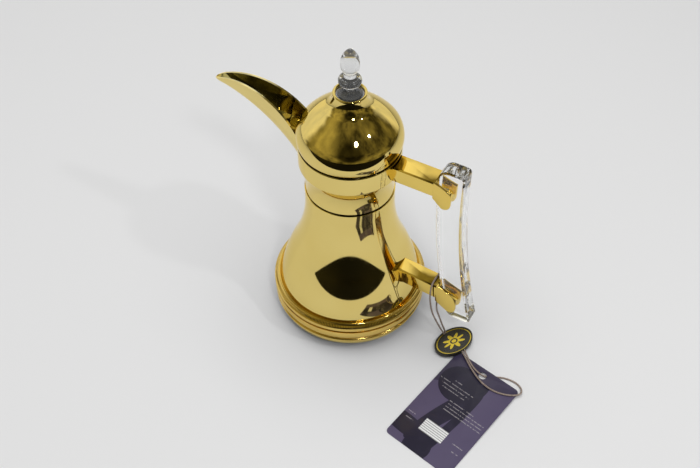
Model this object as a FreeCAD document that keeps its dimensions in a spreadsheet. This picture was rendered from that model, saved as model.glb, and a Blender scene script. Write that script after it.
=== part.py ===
import FreeCAD, Part
import math
import os
import Sketcher
from FreeCAD import Placement, Rotation, Vector

# Gold coffee pot with an open beak, a turning lid and a clear grip.
# Millimetres, +Z up. The pot's axis is Z, it stands on Z = 0, the grip is on +X and the beak on -X.

doc = FreeCAD.newDocument("coffee_pot")
sheet = doc.addObject("Spreadsheet::Sheet", "Sizes")

DRIVING_SIZES = {
    # foot and base
    "foot_proud": 1.5, "foot_sink": 1.5, "foot_inset": 2,
    "base_flat_inset": 6, "base_bowl_curve": 15, "base_shoulder_step": 4.8, "base_shoulder_height": 14.2,
    "base_wall": 2, "base_floor": 3, "base_spigot_height": 16, "joint_clearance": 0.1,
    # ribbed ring round the base
    "ring_height": 24.3, "bead_height": 3, "bead_curve": 1.8, "groove_width": 2.4, "groove_depth": 1.2,
    "bead_step": 0.5, "wide_band_height": 8.2, "ring_thickness": 5.9, "wide_band_curve": 12,
    "narrow_band_height": 4.6, "narrow_band_curve": 5,
    "knurl_width": 2.8, "knurl_fall": 0.4, "ring_roll_ratio": 0.65,
    # bell-shaped body
    "skirt_radius": 67, "skirt_spigot": 14, "shell_wall": 1.8, "neck_radius": 40.4, "neck_straight": 12.6,
    "flare_ratio": 0.4088, "flare_angle": 24.5, "body_top_height": 152.6,
    # flask inside the body
    "cushion_height": 6, "cushion_inner_radius": 26, "cushion_outer_radius": 38, "glass_wall": 1.8,
    "vacuum_gap": 4, "flask_side_room": 15.5, "flask_corner": 10, "flask_belly_height": 48,
    "flask_shoulder_room": 3.9, "flask_shoulder_rise": 45, "flask_neck_room": 10.4,
    "flask_neck_rise": 12, "flask_lip_rise": 0.4, "gasket_height": 2.5,
    # head above the body
    "seam_gap": 1.2, "head_foot_radius": 39.5, "head_foot_height": 2.4, "head_band_radius": 45,
    "head_band_height": 17, "head_rim_round": 1.6, "head_crease_height": 1.5, "head_height": 49,
    "insert_radius": 37.2, "insert_wall": 1.8, "insert_floor": 3, "insert_flange": 1.6, "insert_play": 0.2,
    "stopper_hole_radius": 22, "window_width": 16, "window_height": 23, "window_sill": 9,
    "rim_seal_width": 2.6, "rim_seal_height": 2,
    # open beak
    "beak_reach": 134.5, "beak_root_width": 28.8, "beak_nose_width": 8, "beak_tip_width": 2,
    "beak_wall": 1.8, "beak_bury": 0.6,
    "rim_curve": 68, "rim_start_ratio": 0.9132, "rim_centre_rise": 8.7,
    "keel_curve": 144.6, "keel_centre_ahead": 26.8, "keel_nose_rise": 66.1,
    # stopper and lid
    "turn_clearance": 0.4, "sleeve_wall": 1.6, "sleeve_drop": 12, "sleeve_rise": 32, "sleeve_flange": 4.5,
    "sleeve_flange_height": 2, "stopper_seal_height": 1.6, "core_wall": 1.8, "port_width": 14,
    "port_height": 15, "port_sill": 3, "core_plate_radius": 25, "core_plate_height": 2.5,
    "core_post_radius": 7,
    "lid_gap": 0.7, "lid_edge_inset": 1.7, "lid_overhang": 1, "lid_side_height": 8.2,
    "lid_side_curve": 22, "lid_shoulder_curve": 22, "lid_shoulder_angle": 40, "lid_crown_curve": 80,
    "lid_crown_angle": 58, "lid_wall": 1.8, "lid_crown": 4,
    "collar_radius": 14.2, "collar_wall": 2, "collar_depth": 2, "roll_width": 2.4, "roll_height": 1,
    "roll_ratio": 0.55, "washer_play": 0.4, "washer_height": 1.4,
    "finial_flange_radius": 10.6, "finial_flange_height": 2.2, "finial_waist_radius": 6.2,
    "finial_waist_height": 9.6, "finial_waist_curve": 9, "finial_ring_height": 8.8, "finial_ring_curve": 4.45,
    "finial_neck_radius": 5.1, "finial_neck_height": 3.6, "bulb_radius": 7.9, "bulb_low_height": 10,
    "bulb_low_curve": 13, "bulb_high_height": 12.6, "bulb_high_curve": 17, "bulb_tip_radius": 1,
    "bulb_tip_height": 0.4, "rod_radius": 2, "rod_head_radius": 4, "rod_head_height": 2.5, "rod_in_finial": 9,
    # handle
    "upper_arm_drop": 1.3, "upper_arm_height": 16, "upper_arm_width": 18.5, "upper_arm_gap": 2.3,
    "lower_arm_drop": 7.8, "lower_arm_height": 16.5, "lower_arm_width": 16.5, "lower_arm_gap": 5.1,
    "lower_arm_angle": 5, "arm_bevel": 1.2,
    "grip_face_reach": 109.3, "grip_depth": 23.5, "grip_width": 16, "grip_curve": 600,
    "grip_bend_drop": 3.5, "grip_top_rise": 15.5, "grip_bottom_drop": 34.2,
    "grip_back_round": 10, "grip_front_round": 4, "grip_bevel": 1.5,
    "clasp_width": 21, "clasp_lip": 1.8, "clasp_reach": 16.2, "clasp_tongue": 8, "clasp_fall": 6,
    "clasp_round": 6, "clasp_fit": 0.1, "lower_clasp_reach": 20.2, "lower_clasp_rise": 6,
    "stud_radius": 2, "stud_gap": 1.8, "stud_in_grip": 9,
    "screw_radius": 1.9, "screw_head_radius": 3.4, "screw_head_height": 2, "screw_in_arm": 13,
    # hang tag
    "cord_diameter": 1.6, "card_width": 69, "card_length": 111, "card_thickness": 0.7, "card_corner": 4,
    "card_hole_radius": 3.8, "card_hole_edge": 7.5, "card_hole_side": 33, "card_lift": 2, "card_angle": -11.5,
    "card_foot_x": 138.7, "card_foot_y": -131.6, "label_width": 24.4, "label_length": 13.8,
    "label_thickness": 0.2, "label_side": 21, "label_up": 21,
    "tag_seal_length": 41.8, "tag_seal_width": 28.7, "tag_seal_thickness": 3.2, "tag_seal_border": 1.2,
    "tag_seal_border_height": 0.4, "tag_seal_tilt_angle": 6.4, "tag_seal_turn_angle": 67.6,
    "tag_seal_x": 118.2, "tag_seal_y": -8.5,
}


class Size:
    """A size of the sheet, or one worked out from several, with the expression that binds it."""

    def __init__(self, text, value):
        self.text = text
        self.value = value

    def __add__(self, other):
        return Size(f"({self.text} + {text_of(other)})", self.value + value_of(other))

    def __sub__(self, other):
        return Size(f"({self.text} - {text_of(other)})", self.value - value_of(other))

    def __mul__(self, other):
        return Size(f"({self.text} * {text_of(other)})", self.value * value_of(other))

    def __truediv__(self, other):
        return Size(f"({self.text} / {text_of(other)})", self.value / value_of(other))

    def __neg__(self):
        return Size(f"(-1 * {self.text})", -self.value)


def text_of(item):
    return item.text if isinstance(item, Size) else repr(item)


def value_of(item):
    return item.value if isinstance(item, Size) else item


def root(item):
    return Size(f"sqrt({item.text})", math.sqrt(item.value))


def sine(angle):
    return Size(f"sin({angle.text})", math.sin(math.radians(angle.value)))


def cosine(angle):
    return Size(f"cos({angle.text})", math.cos(math.radians(angle.value)))


for row, (alias, number) in enumerate(DRIVING_SIZES.items(), start=1):
    sheet.set(f"A{row}", alias)
    sheet.set(f"B{row}", str(number))
    sheet.setAlias(f"B{row}", alias)
doc.recompute()


class Sheet:
    """Gives each driving size by its name."""

    def __getattr__(self, name):
        return Size(f"Sizes.{name}", float(sheet.get(name)))


s = Sheet()


class Bend:
    """A round stretch between two outline points: its radius and the side that its centre is on."""

    def __init__(self, radius, side):
        self.radius = radius
        self.side = side


LEFT = 1
RIGHT = -1
no_offset = Size("0", 0)
whole = Size("1", 1)


def tangent_radius(start, end, across, up):
    """Radius of the arc that leaves start along (across, up) and ends at end."""
    run = end[0] - start[0]
    rise = end[1] - start[1]
    offset = run * up - rise * across
    square = run * run + rise * rise
    radius = square / (offset * 2)
    return radius if radius.value > 0 else -radius


def plane(body, role):
    for feature in body.Origin.OriginFeatures:
        if feature.Role == role:
            return feature


def new_sketch(body, name, role):
    item = body.newObject("Sketcher::SketchObject", name)
    item.AttachmentSupport = [(plane(body, role), "")]
    item.MapMode = "FlatFace"
    return item


def draw_outline(item, path):
    """Draws a closed outline of points, with a Bend between two points that an arc joins."""
    corners = [step for step in path if not isinstance(step, Bend)]
    bends = {}
    for index, step in enumerate(path):
        if isinstance(step, Bend):
            bends[len([before for before in path[:index] if not isinstance(before, Bend)]) - 1] = step
    geometry = []
    ends = []
    for index, start in enumerate(corners):
        stop = corners[(index + 1) % len(corners)]
        first = Vector(value_of(start[0]), value_of(start[1]), 0)
        last = Vector(value_of(stop[0]), value_of(stop[1]), 0)
        if index not in bends:
            geometry.append(Part.LineSegment(first, last))
            ends.append((1, 2))
            continue
        bend = bends[index]
        chord = last - first
        radius = bend.radius.value
        reach = math.sqrt(radius ** 2 - (chord.Length / 2) ** 2)
        left = Vector(-chord.y, chord.x, 0).normalize()
        centre = (first + last) * 0.5 + left * (reach * bend.side)
        near = math.atan2(first.y - centre.y, first.x - centre.x)
        far = math.atan2(last.y - centre.y, last.x - centre.x)
        circle = Part.Circle(centre, Vector(0, 0, 1), radius)
        if bend.side == LEFT:
            geometry.append(Part.ArcOfCircle(circle, near, far))
            ends.append((1, 2))
        else:
            geometry.append(Part.ArcOfCircle(circle, far, near))
            ends.append((2, 1))
    item.addGeometry(geometry, False)
    for index in range(len(corners)):
        before = (index - 1) % len(corners)
        item.addConstraint(Sketcher.Constraint("Coincident", before, ends[before][1], index, ends[index][0]))
    for index, corner in enumerate(corners):
        for kind, axis, amount in (("DistanceX", -2, corner[0]), ("DistanceY", -1, corner[1])):
            end = ends[index][0]
            if not isinstance(amount, Size):
                item.addConstraint(Sketcher.Constraint("PointOnObject", index, end, axis))
                continue
            number = item.addConstraint(Sketcher.Constraint(kind, -1, 1, index, end, amount.value))
            item.setExpression(f"Constraints[{number}]", amount.text)
    for index, bend in bends.items():
        number = item.addConstraint(Sketcher.Constraint("Radius", index, bend.radius.value))
        item.setExpression(f"Constraints[{number}]", bend.radius.text)


def turned(name, path):
    """A body turned about its Z axis from an outline of (radius, height) points."""
    body = doc.addObject("PartDesign::Body", name)
    profile = new_sketch(body, name + "_profile", "XZ_Plane")
    draw_outline(profile, path)
    feature = body.newObject("PartDesign::Revolution", name + "_turn")
    feature.Profile = (profile, [""])
    feature.ReferenceAxis = (profile, ["V_Axis"])
    feature.Angle = 360
    return body


def side_plate(name, path, width):
    """A body of even width whose side view is an outline of (X, Z) points."""
    body = doc.addObject("PartDesign::Body", name)
    profile = new_sketch(body, name + "_side", "XZ_Plane")
    draw_outline(profile, path)
    feature = body.newObject("PartDesign::Pad", name + "_pad")
    feature.Profile = (profile, [""])
    feature.setExpression("Length", width.text)
    feature.SideType = "Symmetric"
    return body


FLAT_EDGE = 0.01


def edge_names(shape, wanted):
    return [f"Edge{number}" for number, edge in enumerate(shape.Edges, start=1) if wanted(edge)]


def dress(body, kind, name, size, wanted):
    """Adds a fillet or chamfer to the edges of a body that the test wanted picks."""
    doc.recompute()
    base = body.Tip
    feature = body.newObject("PartDesign::" + kind, name)
    feature.Base = (base, edge_names(base.Shape, wanted))
    feature.setExpression("Radius" if kind == "Fillet" else "Size", size.text)
    return body


def rod(name, radius, length, x, z, along_x=True):
    """A cylinder tool along X, or along Z, that starts at (x, 0, z)."""
    item = doc.addObject("Part::Cylinder", name)
    item.setExpression("Radius", radius.text)
    item.setExpression("Height", length.text)
    turn = Rotation(Vector(0, 1, 0), 90) if along_x else Rotation()
    item.Placement = Placement(Vector(x.value, 0, z.value), turn)
    item.setExpression("Placement.Base.x", x.text)
    item.setExpression("Placement.Base.z", z.text)
    return item


def block(name, length, width, height, x, y, z):
    """A box tool with its lowest corner at (x, y, z)."""
    item = doc.addObject("Part::Box", name)
    for field, amount in (("Length", length), ("Width", width), ("Height", height),
                          ("Placement.Base.x", x), ("Placement.Base.y", y), ("Placement.Base.z", z)):
        item.setExpression(field, amount.text)
    return item


def cut(name, base, *tools):
    for number, tool in enumerate(tools, start=1):
        item = doc.addObject("Part::Cut", f"{name}_cut_{number}")
        item.Base = base
        item.Tool = tool
        base = item
    return base


def shaped(name, shape):
    item = doc.addObject("Part::Feature", name)
    item.Shape = shape
    item.Placement = Placement()
    return item


nodes = {}


def keep(name, item):
    nodes[name] = item


# Foot pad: soft rubber disc, pressed into a recess under the base cup.
base_bottom = s.foot_proud
foot_top = base_bottom + s.foot_sink
base_flat = s.skirt_radius - s.base_flat_inset
foot_radius = base_flat - s.foot_inset
keep("foot_pad", turned("foot_pad", [(0, 0), (foot_radius, 0), (foot_radius, foot_top), (0, foot_top)]))

# Base cup: the gold bowl that closes the bottom, with a spigot that goes up inside the body shell.
floor_top = foot_top + s.base_floor
spigot_outer = s.skirt_radius - s.shell_wall - s.joint_clearance
spigot_inner = spigot_outer - s.base_wall
spigot_top = s.base_shoulder_height + s.base_spigot_height
shoulder_radius = s.skirt_radius + s.base_shoulder_step
keep("base_cup", turned("base_cup", [
    (0, foot_top), (foot_radius, foot_top), (foot_radius, base_bottom),
    (base_flat, base_bottom), Bend(s.base_bowl_curve, LEFT),
    (shoulder_radius, s.base_shoulder_height), (spigot_outer, s.base_shoulder_height),
    (spigot_outer, spigot_top), (spigot_inner, spigot_top), (spigot_inner, s.base_shoulder_height),
    (foot_radius - s.base_wall, floor_top), (0, floor_top)]))

# Base ring: the ribbed gold belt that sits on the base cup and hides the body's lower edge.
ring_bottom = s.base_shoulder_height
ring_bore = s.skirt_radius + s.joint_clearance
bead_top = ring_bottom + s.bead_height
low_groove_top = bead_top + s.groove_width
wide_top = low_groove_top + s.wide_band_height
high_groove_top = wide_top + s.groove_width
narrow_top = high_groove_top + s.narrow_band_height
ring_top = ring_bottom + s.ring_height
band_radius = s.skirt_radius + s.ring_thickness
groove_radius = band_radius - s.groove_depth
knurl_inner = band_radius - s.knurl_width
ring_roll = (knurl_inner - ring_bore) * s.ring_roll_ratio
keep("base_ring", turned("base_ring", [
    (ring_bore, ring_bottom), (shoulder_radius, ring_bottom), Bend(s.bead_curve, LEFT),
    (shoulder_radius, bead_top), (groove_radius - s.bead_step, bead_top),
    (groove_radius - s.bead_step, low_groove_top), (band_radius - s.bead_step, low_groove_top),
    Bend(s.wide_band_curve, LEFT), (band_radius, wide_top),
    (groove_radius, wide_top), (groove_radius, high_groove_top), (band_radius, high_groove_top),
    Bend(s.narrow_band_curve, LEFT), (band_radius, narrow_top), (knurl_inner, ring_top - s.knurl_fall),
    Bend(ring_roll, LEFT), (ring_bore, ring_top - s.knurl_fall)]))

# Body shell: the bell-shaped gold skin. Its flare is a hollow arc above and a full arc below.
seam_height = ring_top
lean_across = cosine(s.flare_angle)
lean_up = sine(s.flare_angle)
waist_height = s.body_top_height - s.neck_straight
bend_height = seam_height + (waist_height - seam_height) * s.flare_ratio
flare_curve = (waist_height - bend_height) / lean_up
bend_radius = s.neck_radius + flare_curve * (whole - lean_across)
skirt_curve = tangent_radius((bend_radius, bend_height), (s.skirt_radius, seam_height), lean_up, -lean_across)
inner_bend = (bend_radius - s.shell_wall * lean_across, bend_height - s.shell_wall * lean_up)
inner_skirt = s.skirt_radius - s.shell_wall
inner_skirt_curve = tangent_radius(inner_bend, (inner_skirt, seam_height), lean_up, -lean_across)
inner_neck = s.neck_radius - s.shell_wall
skirt_bottom = seam_height - s.skirt_spigot


def body_outline(inside):
    outer = [(s.skirt_radius, skirt_bottom), (s.skirt_radius, seam_height), Bend(skirt_curve, LEFT),
             (bend_radius, bend_height), Bend(flare_curve, RIGHT), (s.neck_radius, waist_height),
             (s.neck_radius, s.body_top_height)]
    return outer + inside


body_skin = turned("body_skin", body_outline([
    (inner_neck, s.body_top_height), (inner_neck, waist_height),
    Bend(flare_curve + s.shell_wall, LEFT), inner_bend, Bend(inner_skirt_curve, RIGHT),
    (inner_skirt, seam_height), (inner_skirt, skirt_bottom)]))
body_form = turned("body_form", body_outline([(0, s.body_top_height), (0, skirt_bottom)]))

# Base cushion: rubber ring on the base floor that the flask stands on.
flask_bottom = floor_top + s.cushion_height
keep("base_cushion", turned("base_cushion", [
    (s.cushion_inner_radius, floor_top), (s.cushion_outer_radius, floor_top),
    (s.cushion_outer_radius, flask_bottom), (s.cushion_inner_radius, flask_bottom)]))

# Flask: two glass walls with a gap between them, joined at the lip.
belly_top = flask_bottom + s.flask_belly_height
shoulder_top = belly_top + s.flask_shoulder_rise
neck_bottom = shoulder_top + s.flask_neck_rise
lip_top = s.body_top_height + s.flask_lip_rise
flask_radius = s.skirt_radius - s.flask_side_room
flask_shoulder = s.neck_radius - s.flask_shoulder_room
flask_neck = s.neck_radius - s.flask_neck_room


def flask_wall(offset, drop):
    """The outside of a flask wall that is set in by offset all round and raised by drop at the bottom."""
    low = flask_bottom + drop
    corner = s.flask_corner
    return [(0, low), (flask_radius - offset - corner, low), Bend(corner, LEFT),
            (flask_radius - offset, low + corner), (flask_radius - offset, belly_top),
            (flask_shoulder - offset, shoulder_top), (flask_neck - offset, neck_bottom)]


def mirrored_bends(path):
    """The same outline walked the other way."""
    turned_round = []
    for step in reversed(path):
        turned_round.append(Bend(step.radius, -step.side) if isinstance(step, Bend) else step)
    return turned_round


lip_bottom = lip_top - s.glass_wall
inner_offset = s.glass_wall + s.vacuum_gap
inner_neck_radius = flask_neck - inner_offset
mouth_radius = inner_neck_radius - s.glass_wall
keep("flask_outer", turned("flask_outer", flask_wall(no_offset, no_offset) + [
    (flask_neck, lip_top), (inner_neck_radius, lip_top), (inner_neck_radius, lip_bottom),
    (flask_neck - s.glass_wall, lip_bottom)] + mirrored_bends(flask_wall(s.glass_wall, s.glass_wall))))
keep("flask_inner", turned("flask_inner", flask_wall(inner_offset, inner_offset) + [
    (inner_neck_radius, lip_top), (mouth_radius, lip_top)]
    + mirrored_bends(flask_wall(inner_offset + s.glass_wall, inner_offset + s.glass_wall))))

# Mouth gasket: silicone ring between the flask's lip and the pour insert.
insert_bottom = lip_top + s.gasket_height
keep("mouth_gasket", turned("mouth_gasket", [
    (mouth_radius, lip_top), (flask_neck, lip_top),
    (flask_neck, insert_bottom), (mouth_radius, insert_bottom)]))

# Head collar: the gold head that flares out to a band under the lid.
head_bottom = s.body_top_height + s.seam_gap
head_top = head_bottom + s.head_height
band_bottom = head_top - s.head_band_height - s.head_rim_round
band_top = head_top - s.head_rim_round
rim_radius = s.head_band_radius - s.head_rim_round
flare_start = (s.head_foot_radius, head_bottom + s.head_foot_height)
flare_step = s.head_band_radius - s.head_foot_radius
flare_rise = band_bottom - flare_start[1]
crease_step = s.head_crease_height * flare_step / flare_rise
flare_end = (s.head_band_radius - crease_step, band_bottom - s.head_crease_height)
head_curve = tangent_radius(flare_start, flare_end, no_offset, whole)
crease_curve = tangent_radius((s.head_band_radius, band_bottom), flare_end, no_offset, whole)
inner_band = s.head_band_radius - s.shell_wall
inner_flare_start = (s.head_foot_radius - s.shell_wall, flare_start[1])
inner_flare_end = (inner_band, band_bottom)
inner_head_curve = tangent_radius(inner_flare_start, inner_flare_end, no_offset, whole)


def head_outline(inside):
    return [(s.head_foot_radius, head_bottom), flare_start, Bend(head_curve, RIGHT), flare_end,
            Bend(crease_curve, LEFT), (s.head_band_radius, band_bottom), (s.head_band_radius, band_top),
            Bend(s.head_rim_round, LEFT), (rim_radius, head_top)] + inside


seal_inner = rim_radius - s.rim_seal_width
head_skin = turned("head_skin", head_outline([
    (seal_inner, head_top), (seal_inner, band_top), (inner_band, band_top), inner_flare_end,
    Bend(inner_head_curve, LEFT), inner_flare_start, (inner_flare_start[0], head_bottom)]))
head_form = turned("head_form", head_outline([(0, head_top), (0, head_bottom)]))

# Pour insert: plastic cup in the head, with the stopper's hole in its floor and a window to the beak.
insert_top = band_top - s.insert_play
insert_floor_top = insert_bottom + s.insert_floor
insert_inner = s.insert_radius - s.insert_wall
flange_radius = inner_band - s.joint_clearance
insert_body = turned("insert_body", [
    (s.stopper_hole_radius, insert_bottom), (s.insert_radius, insert_bottom),
    (s.insert_radius, insert_top - s.insert_flange), (flange_radius, insert_top - s.insert_flange),
    (flange_radius, insert_top), (insert_inner, insert_top), (insert_inner, insert_floor_top),
    (s.stopper_hole_radius, insert_floor_top)])
window_bottom = insert_floor_top + s.window_sill
window_tool = block("window_tool", s.head_band_radius, s.window_width, s.window_height,
                    -s.head_band_radius - s.shell_wall, -s.window_width / 2, window_bottom)

# Handle arm screws: they hold the arms from inside the head and the body.
upper_arm_top = head_top - s.upper_arm_drop
lower_arm_top = bend_height - s.lower_arm_drop
upper_axis = upper_arm_top - s.upper_arm_height / 2
lower_axis = lower_arm_top - s.lower_arm_height / 2
upper_seat = root(inner_band * inner_band - s.screw_head_radius * s.screw_head_radius) - s.joint_clearance
skirt_centre = (bend_radius - skirt_curve * lean_across, bend_height - skirt_curve * lean_up)
screw_head_top = lower_axis + s.screw_head_radius - skirt_centre[1]
skin_at_screw = skirt_centre[0] + root(skirt_curve * skirt_curve - screw_head_top * screw_head_top)
lower_seat = skin_at_screw - s.shell_wall / lean_across - s.joint_clearance


def arm_screw(name, seat, height, length):
    """A round-headed screw along X, whose head bears on the inside of the skin at seat."""
    neck = s.screw_head_height
    item = turned(name, [(0, 0), (s.screw_head_radius, 0), (s.screw_head_radius, neck),
                         (s.screw_radius, neck), (s.screw_radius, neck + length), (0, neck + length)])
    start = seat - s.screw_head_height
    item.Placement = Placement(Vector(start.value, 0, height.value), Rotation(Vector(0, 1, 0), 90))
    item.setExpression("Placement.Base.x", start.text)
    item.setExpression("Placement.Base.z", height.text)
    return item


upper_screw_length = s.shell_wall + s.screw_in_arm
lower_screw_length = s.skirt_radius - lower_seat + s.screw_in_arm
keep("upper_arm_screw", arm_screw("upper_arm_screw", upper_seat, upper_axis, upper_screw_length))
keep("lower_arm_screw", arm_screw("lower_arm_screw", lower_seat, lower_axis, lower_screw_length))


def screw_hole(name, seat, height, length):
    return rod(name, s.screw_radius, length, seat, height)


keep("head_collar", cut("head_collar", head_skin, window_tool,
                        screw_hole("head_hole", upper_seat, upper_axis, upper_screw_length)))
keep("body_shell", cut("body_shell", body_skin,
                       screw_hole("body_hole", lower_seat, lower_axis, lower_screw_length)))
keep("pour_insert", cut("pour_insert", insert_body, window_tool))

# Rim seal: black ring in the head's rim, seen as the dark line under the lid.
rim_seal_inner = seal_inner - s.rim_seal_width
rim_seal_bottom = insert_top + s.joint_clearance
rim_seal_top = insert_top + s.rim_seal_height
keep("rim_seal", turned("rim_seal", [
    (rim_seal_inner, rim_seal_bottom), (seal_inner, rim_seal_bottom), (seal_inner, rim_seal_top),
    (rim_seal_inner, rim_seal_top)]))

# Beak: an open trough. Rim and keel are arcs in side view, and it narrows evenly to the nose.
lid_bottom = head_top + s.lid_gap
lid_radius = s.head_band_radius + s.lid_overhang
first_reach = s.head_foot_radius.value - s.beak_bury.value
rim_centre = first_reach + s.rim_curve.value * s.rim_start_ratio.value
rim_base = head_bottom.value + s.rim_centre_rise.value
keel_centre = s.beak_reach.value + s.keel_centre_ahead.value
keel_span = math.sqrt(s.keel_curve.value ** 2 - s.keel_centre_ahead.value ** 2)
keel_base = head_bottom.value + s.keel_nose_rise.value - keel_span


def circle_height(reach, curve, centre_reach, centre_height):
    return centre_height + math.sqrt(curve ** 2 - (reach - centre_reach) ** 2)


def beak_section(reach, inset, lift):
    """A U-shaped section across the beak at this reach, set in from the outside by inset."""
    rim = circle_height(reach, s.rim_curve.value, rim_centre, rim_base)
    keel = circle_height(reach, s.keel_curve.value, keel_centre, keel_base)
    start = s.head_band_radius.value
    share = (reach - start) / (s.beak_reach.value - start)
    width = s.beak_root_width.value + (s.beak_nose_width.value - s.beak_root_width.value) * share
    nose = (s.beak_reach.value - reach) / s.beak_nose_width.value
    if nose < 1:
        width = max(s.beak_tip_width.value, width * math.sqrt(max(0, nose * (2 - nose))))
    half = width / 2 - inset
    depth = max(rim - keel, s.beak_tip_width.value) - inset
    angles = [math.pi * step / 8 for step in range(9)]
    points = [Vector(-reach, -half * math.cos(angle), rim - depth * math.sin(angle)) for angle in angles]
    trough = Part.BSplineCurve()
    trough.interpolate(points)
    edges = [trough.toShape()]
    top = [points[-1], points[-1] + Vector(0, 0, lift), points[0] + Vector(0, 0, lift), points[0]]
    if lift == 0:
        edges.append(Part.makeLine(points[-1], points[0]))
    else:
        edges.extend(Part.makeLine(top[number], top[number + 1]) for number in range(3))
    return Part.Wire(edges)


def beak_loft(last_reach, inset, lift, count):
    step = (last_reach - first_reach) / count
    stations = [first_reach + step * number for number in range(count + 1)]
    if inset == 0:
        stations[-1:-1] = [last_reach - step * 0.5, last_reach - step * 0.2]
    return Part.makeLoft([beak_section(station, inset, lift) for station in stations], True, False)


doc.recompute()
beak_outside = beak_loft(s.beak_reach.value, 0, 0, 8)
beak_inside = beak_loft(s.beak_reach.value - s.beak_nose_width.value, s.beak_wall.value,
                        s.beak_root_width.value, 7)
lid_room = Part.makeCylinder(lid_radius.value + s.lid_gap.value, lid_radius.value * 2,
                             Vector(0, 0, band_top.value))
keep("beak", shaped("beak", beak_outside.cut(beak_inside).cut(head_form.Shape).cut(lid_room)))

# Stopper sleeve and seal: the sleeve hangs in the insert's hole and has a port that faces the beak.
seal_bottom = insert_floor_top + s.turn_clearance / 2
sleeve_flange_bottom = seal_bottom + s.stopper_seal_height
sleeve_outer = s.stopper_hole_radius - s.turn_clearance
sleeve_inner = sleeve_outer - s.sleeve_wall
sleeve_top = sleeve_flange_bottom + s.sleeve_rise
sleeve_bottom = insert_floor_top - s.sleeve_drop
sleeve_flange_top = sleeve_flange_bottom + s.sleeve_flange_height
sleeve_rim = sleeve_outer + s.sleeve_flange
port_bottom = sleeve_flange_top + s.port_sill
keep("stopper_seal", turned("stopper_seal", [
    (sleeve_outer, seal_bottom), (sleeve_rim, seal_bottom), (sleeve_rim, sleeve_flange_bottom),
    (sleeve_outer, sleeve_flange_bottom)]))
sleeve_body = turned("sleeve_body", [
    (sleeve_inner, sleeve_bottom), (sleeve_outer, sleeve_bottom), (sleeve_outer, sleeve_flange_bottom),
    (sleeve_rim, sleeve_flange_bottom), (sleeve_rim, sleeve_flange_top), (sleeve_outer, sleeve_flange_top),
    (sleeve_outer, sleeve_top), (sleeve_inner, sleeve_top)])
sleeve_port = block("sleeve_port", s.stopper_hole_radius, s.port_width, s.port_height,
                    -s.stopper_hole_radius, -s.port_width / 2, port_bottom)
keep("stopper_sleeve", cut("stopper_sleeve", sleeve_body, sleeve_port))

# Lid dome: a tight shoulder, a wide crown and a hollow foot below the collar that holds the finial.
shoulder_across = cosine(s.lid_shoulder_angle)
shoulder_up = sine(s.lid_shoulder_angle)
crown_across = cosine(s.lid_crown_angle)
crown_up = sine(s.lid_crown_angle)
lid_edge = lid_radius - s.lid_edge_inset
side_top = lid_bottom + s.lid_side_height
shoulder_end = (lid_radius - s.lid_shoulder_curve * (whole - shoulder_across),
                side_top + s.lid_shoulder_curve * shoulder_up)
crown_centre = (shoulder_end[0] - s.lid_crown_curve * shoulder_across,
                shoulder_end[1] - s.lid_crown_curve * shoulder_up)
crown_end = (crown_centre[0] + s.lid_crown_curve * crown_across,
             crown_centre[1] + s.lid_crown_curve * crown_up)
collar_curve = (crown_end[0] - s.collar_radius) / (whole - crown_across)
collar_top = crown_end[1] + collar_curve * crown_up
collar_inner = s.collar_radius - s.collar_wall
seat_top = collar_top - s.collar_depth
seat_bottom = seat_top - s.lid_crown
inner_side = lid_radius - s.lid_wall
inner_shoulder = (shoulder_end[0] - s.lid_wall * shoulder_across, shoulder_end[1] - s.lid_wall * shoulder_up)
inner_crown = (crown_end[0] - s.lid_wall * crown_across, crown_end[1] - s.lid_wall * crown_up)
keep("lid_dome", turned("lid_dome", [
    (lid_edge, lid_bottom), Bend(s.lid_side_curve, LEFT), (lid_radius, side_top),
    Bend(s.lid_shoulder_curve, LEFT), shoulder_end, Bend(s.lid_crown_curve, LEFT), crown_end,
    Bend(collar_curve, RIGHT), (s.collar_radius, collar_top), (collar_inner, collar_top),
    (collar_inner, seat_top), (s.rod_radius, seat_top), (s.rod_radius, seat_bottom),
    (collar_inner, seat_bottom), inner_crown, Bend(s.lid_crown_curve - s.lid_wall, RIGHT), inner_shoulder,
    Bend(s.lid_shoulder_curve - s.lid_wall, RIGHT), (inner_side, side_top),
    (lid_edge - s.lid_wall, lid_bottom)]))

# Collar ring: the rolled gold edge round the finial's seat.
roll_outer = s.collar_radius + s.roll_width / 2 - s.collar_wall / 2
roll_inner = roll_outer - s.roll_width
roll_side = collar_top + s.roll_height
roll_curve = s.roll_width * s.roll_ratio
keep("collar_ring", turned("collar_ring", [
    (roll_inner, collar_top), (roll_outer, collar_top), (roll_outer, roll_side),
    Bend(roll_curve, LEFT), (roll_inner, roll_side)]))

# Finial: clear acrylic knob on a dark washer, held by a rod from inside the lid.
finial_bottom = seat_top + s.washer_height
washer_radius = collar_inner - s.washer_play
keep("finial_washer", turned("finial_washer", [
    (s.rod_radius, seat_top), (washer_radius, seat_top), (washer_radius, finial_bottom),
    (s.rod_radius, finial_bottom)]))
flange_top = finial_bottom + s.finial_flange_height
waist_top = finial_bottom + s.finial_waist_height
finial_ring_top = waist_top + s.finial_ring_height
finial_neck_top = finial_ring_top + s.finial_neck_height
bulb_middle = finial_neck_top + s.bulb_low_height
bulb_top = bulb_middle + s.bulb_high_height
rod_top = finial_bottom + s.rod_in_finial
keep("finial", turned("finial", [
    (s.rod_radius, finial_bottom), (s.finial_flange_radius, finial_bottom),
    (s.finial_flange_radius, flange_top),
    Bend(s.finial_waist_curve, RIGHT), (s.finial_waist_radius, waist_top), Bend(s.finial_ring_curve, LEFT),
    (s.finial_neck_radius, finial_ring_top), (s.finial_neck_radius, finial_neck_top),
    Bend(s.bulb_low_curve, LEFT), (s.bulb_radius, bulb_middle), Bend(s.bulb_high_curve, LEFT),
    (s.bulb_tip_radius, bulb_top), (0, bulb_top + s.bulb_tip_height), (0, rod_top), (s.rod_radius, rod_top)]))

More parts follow.
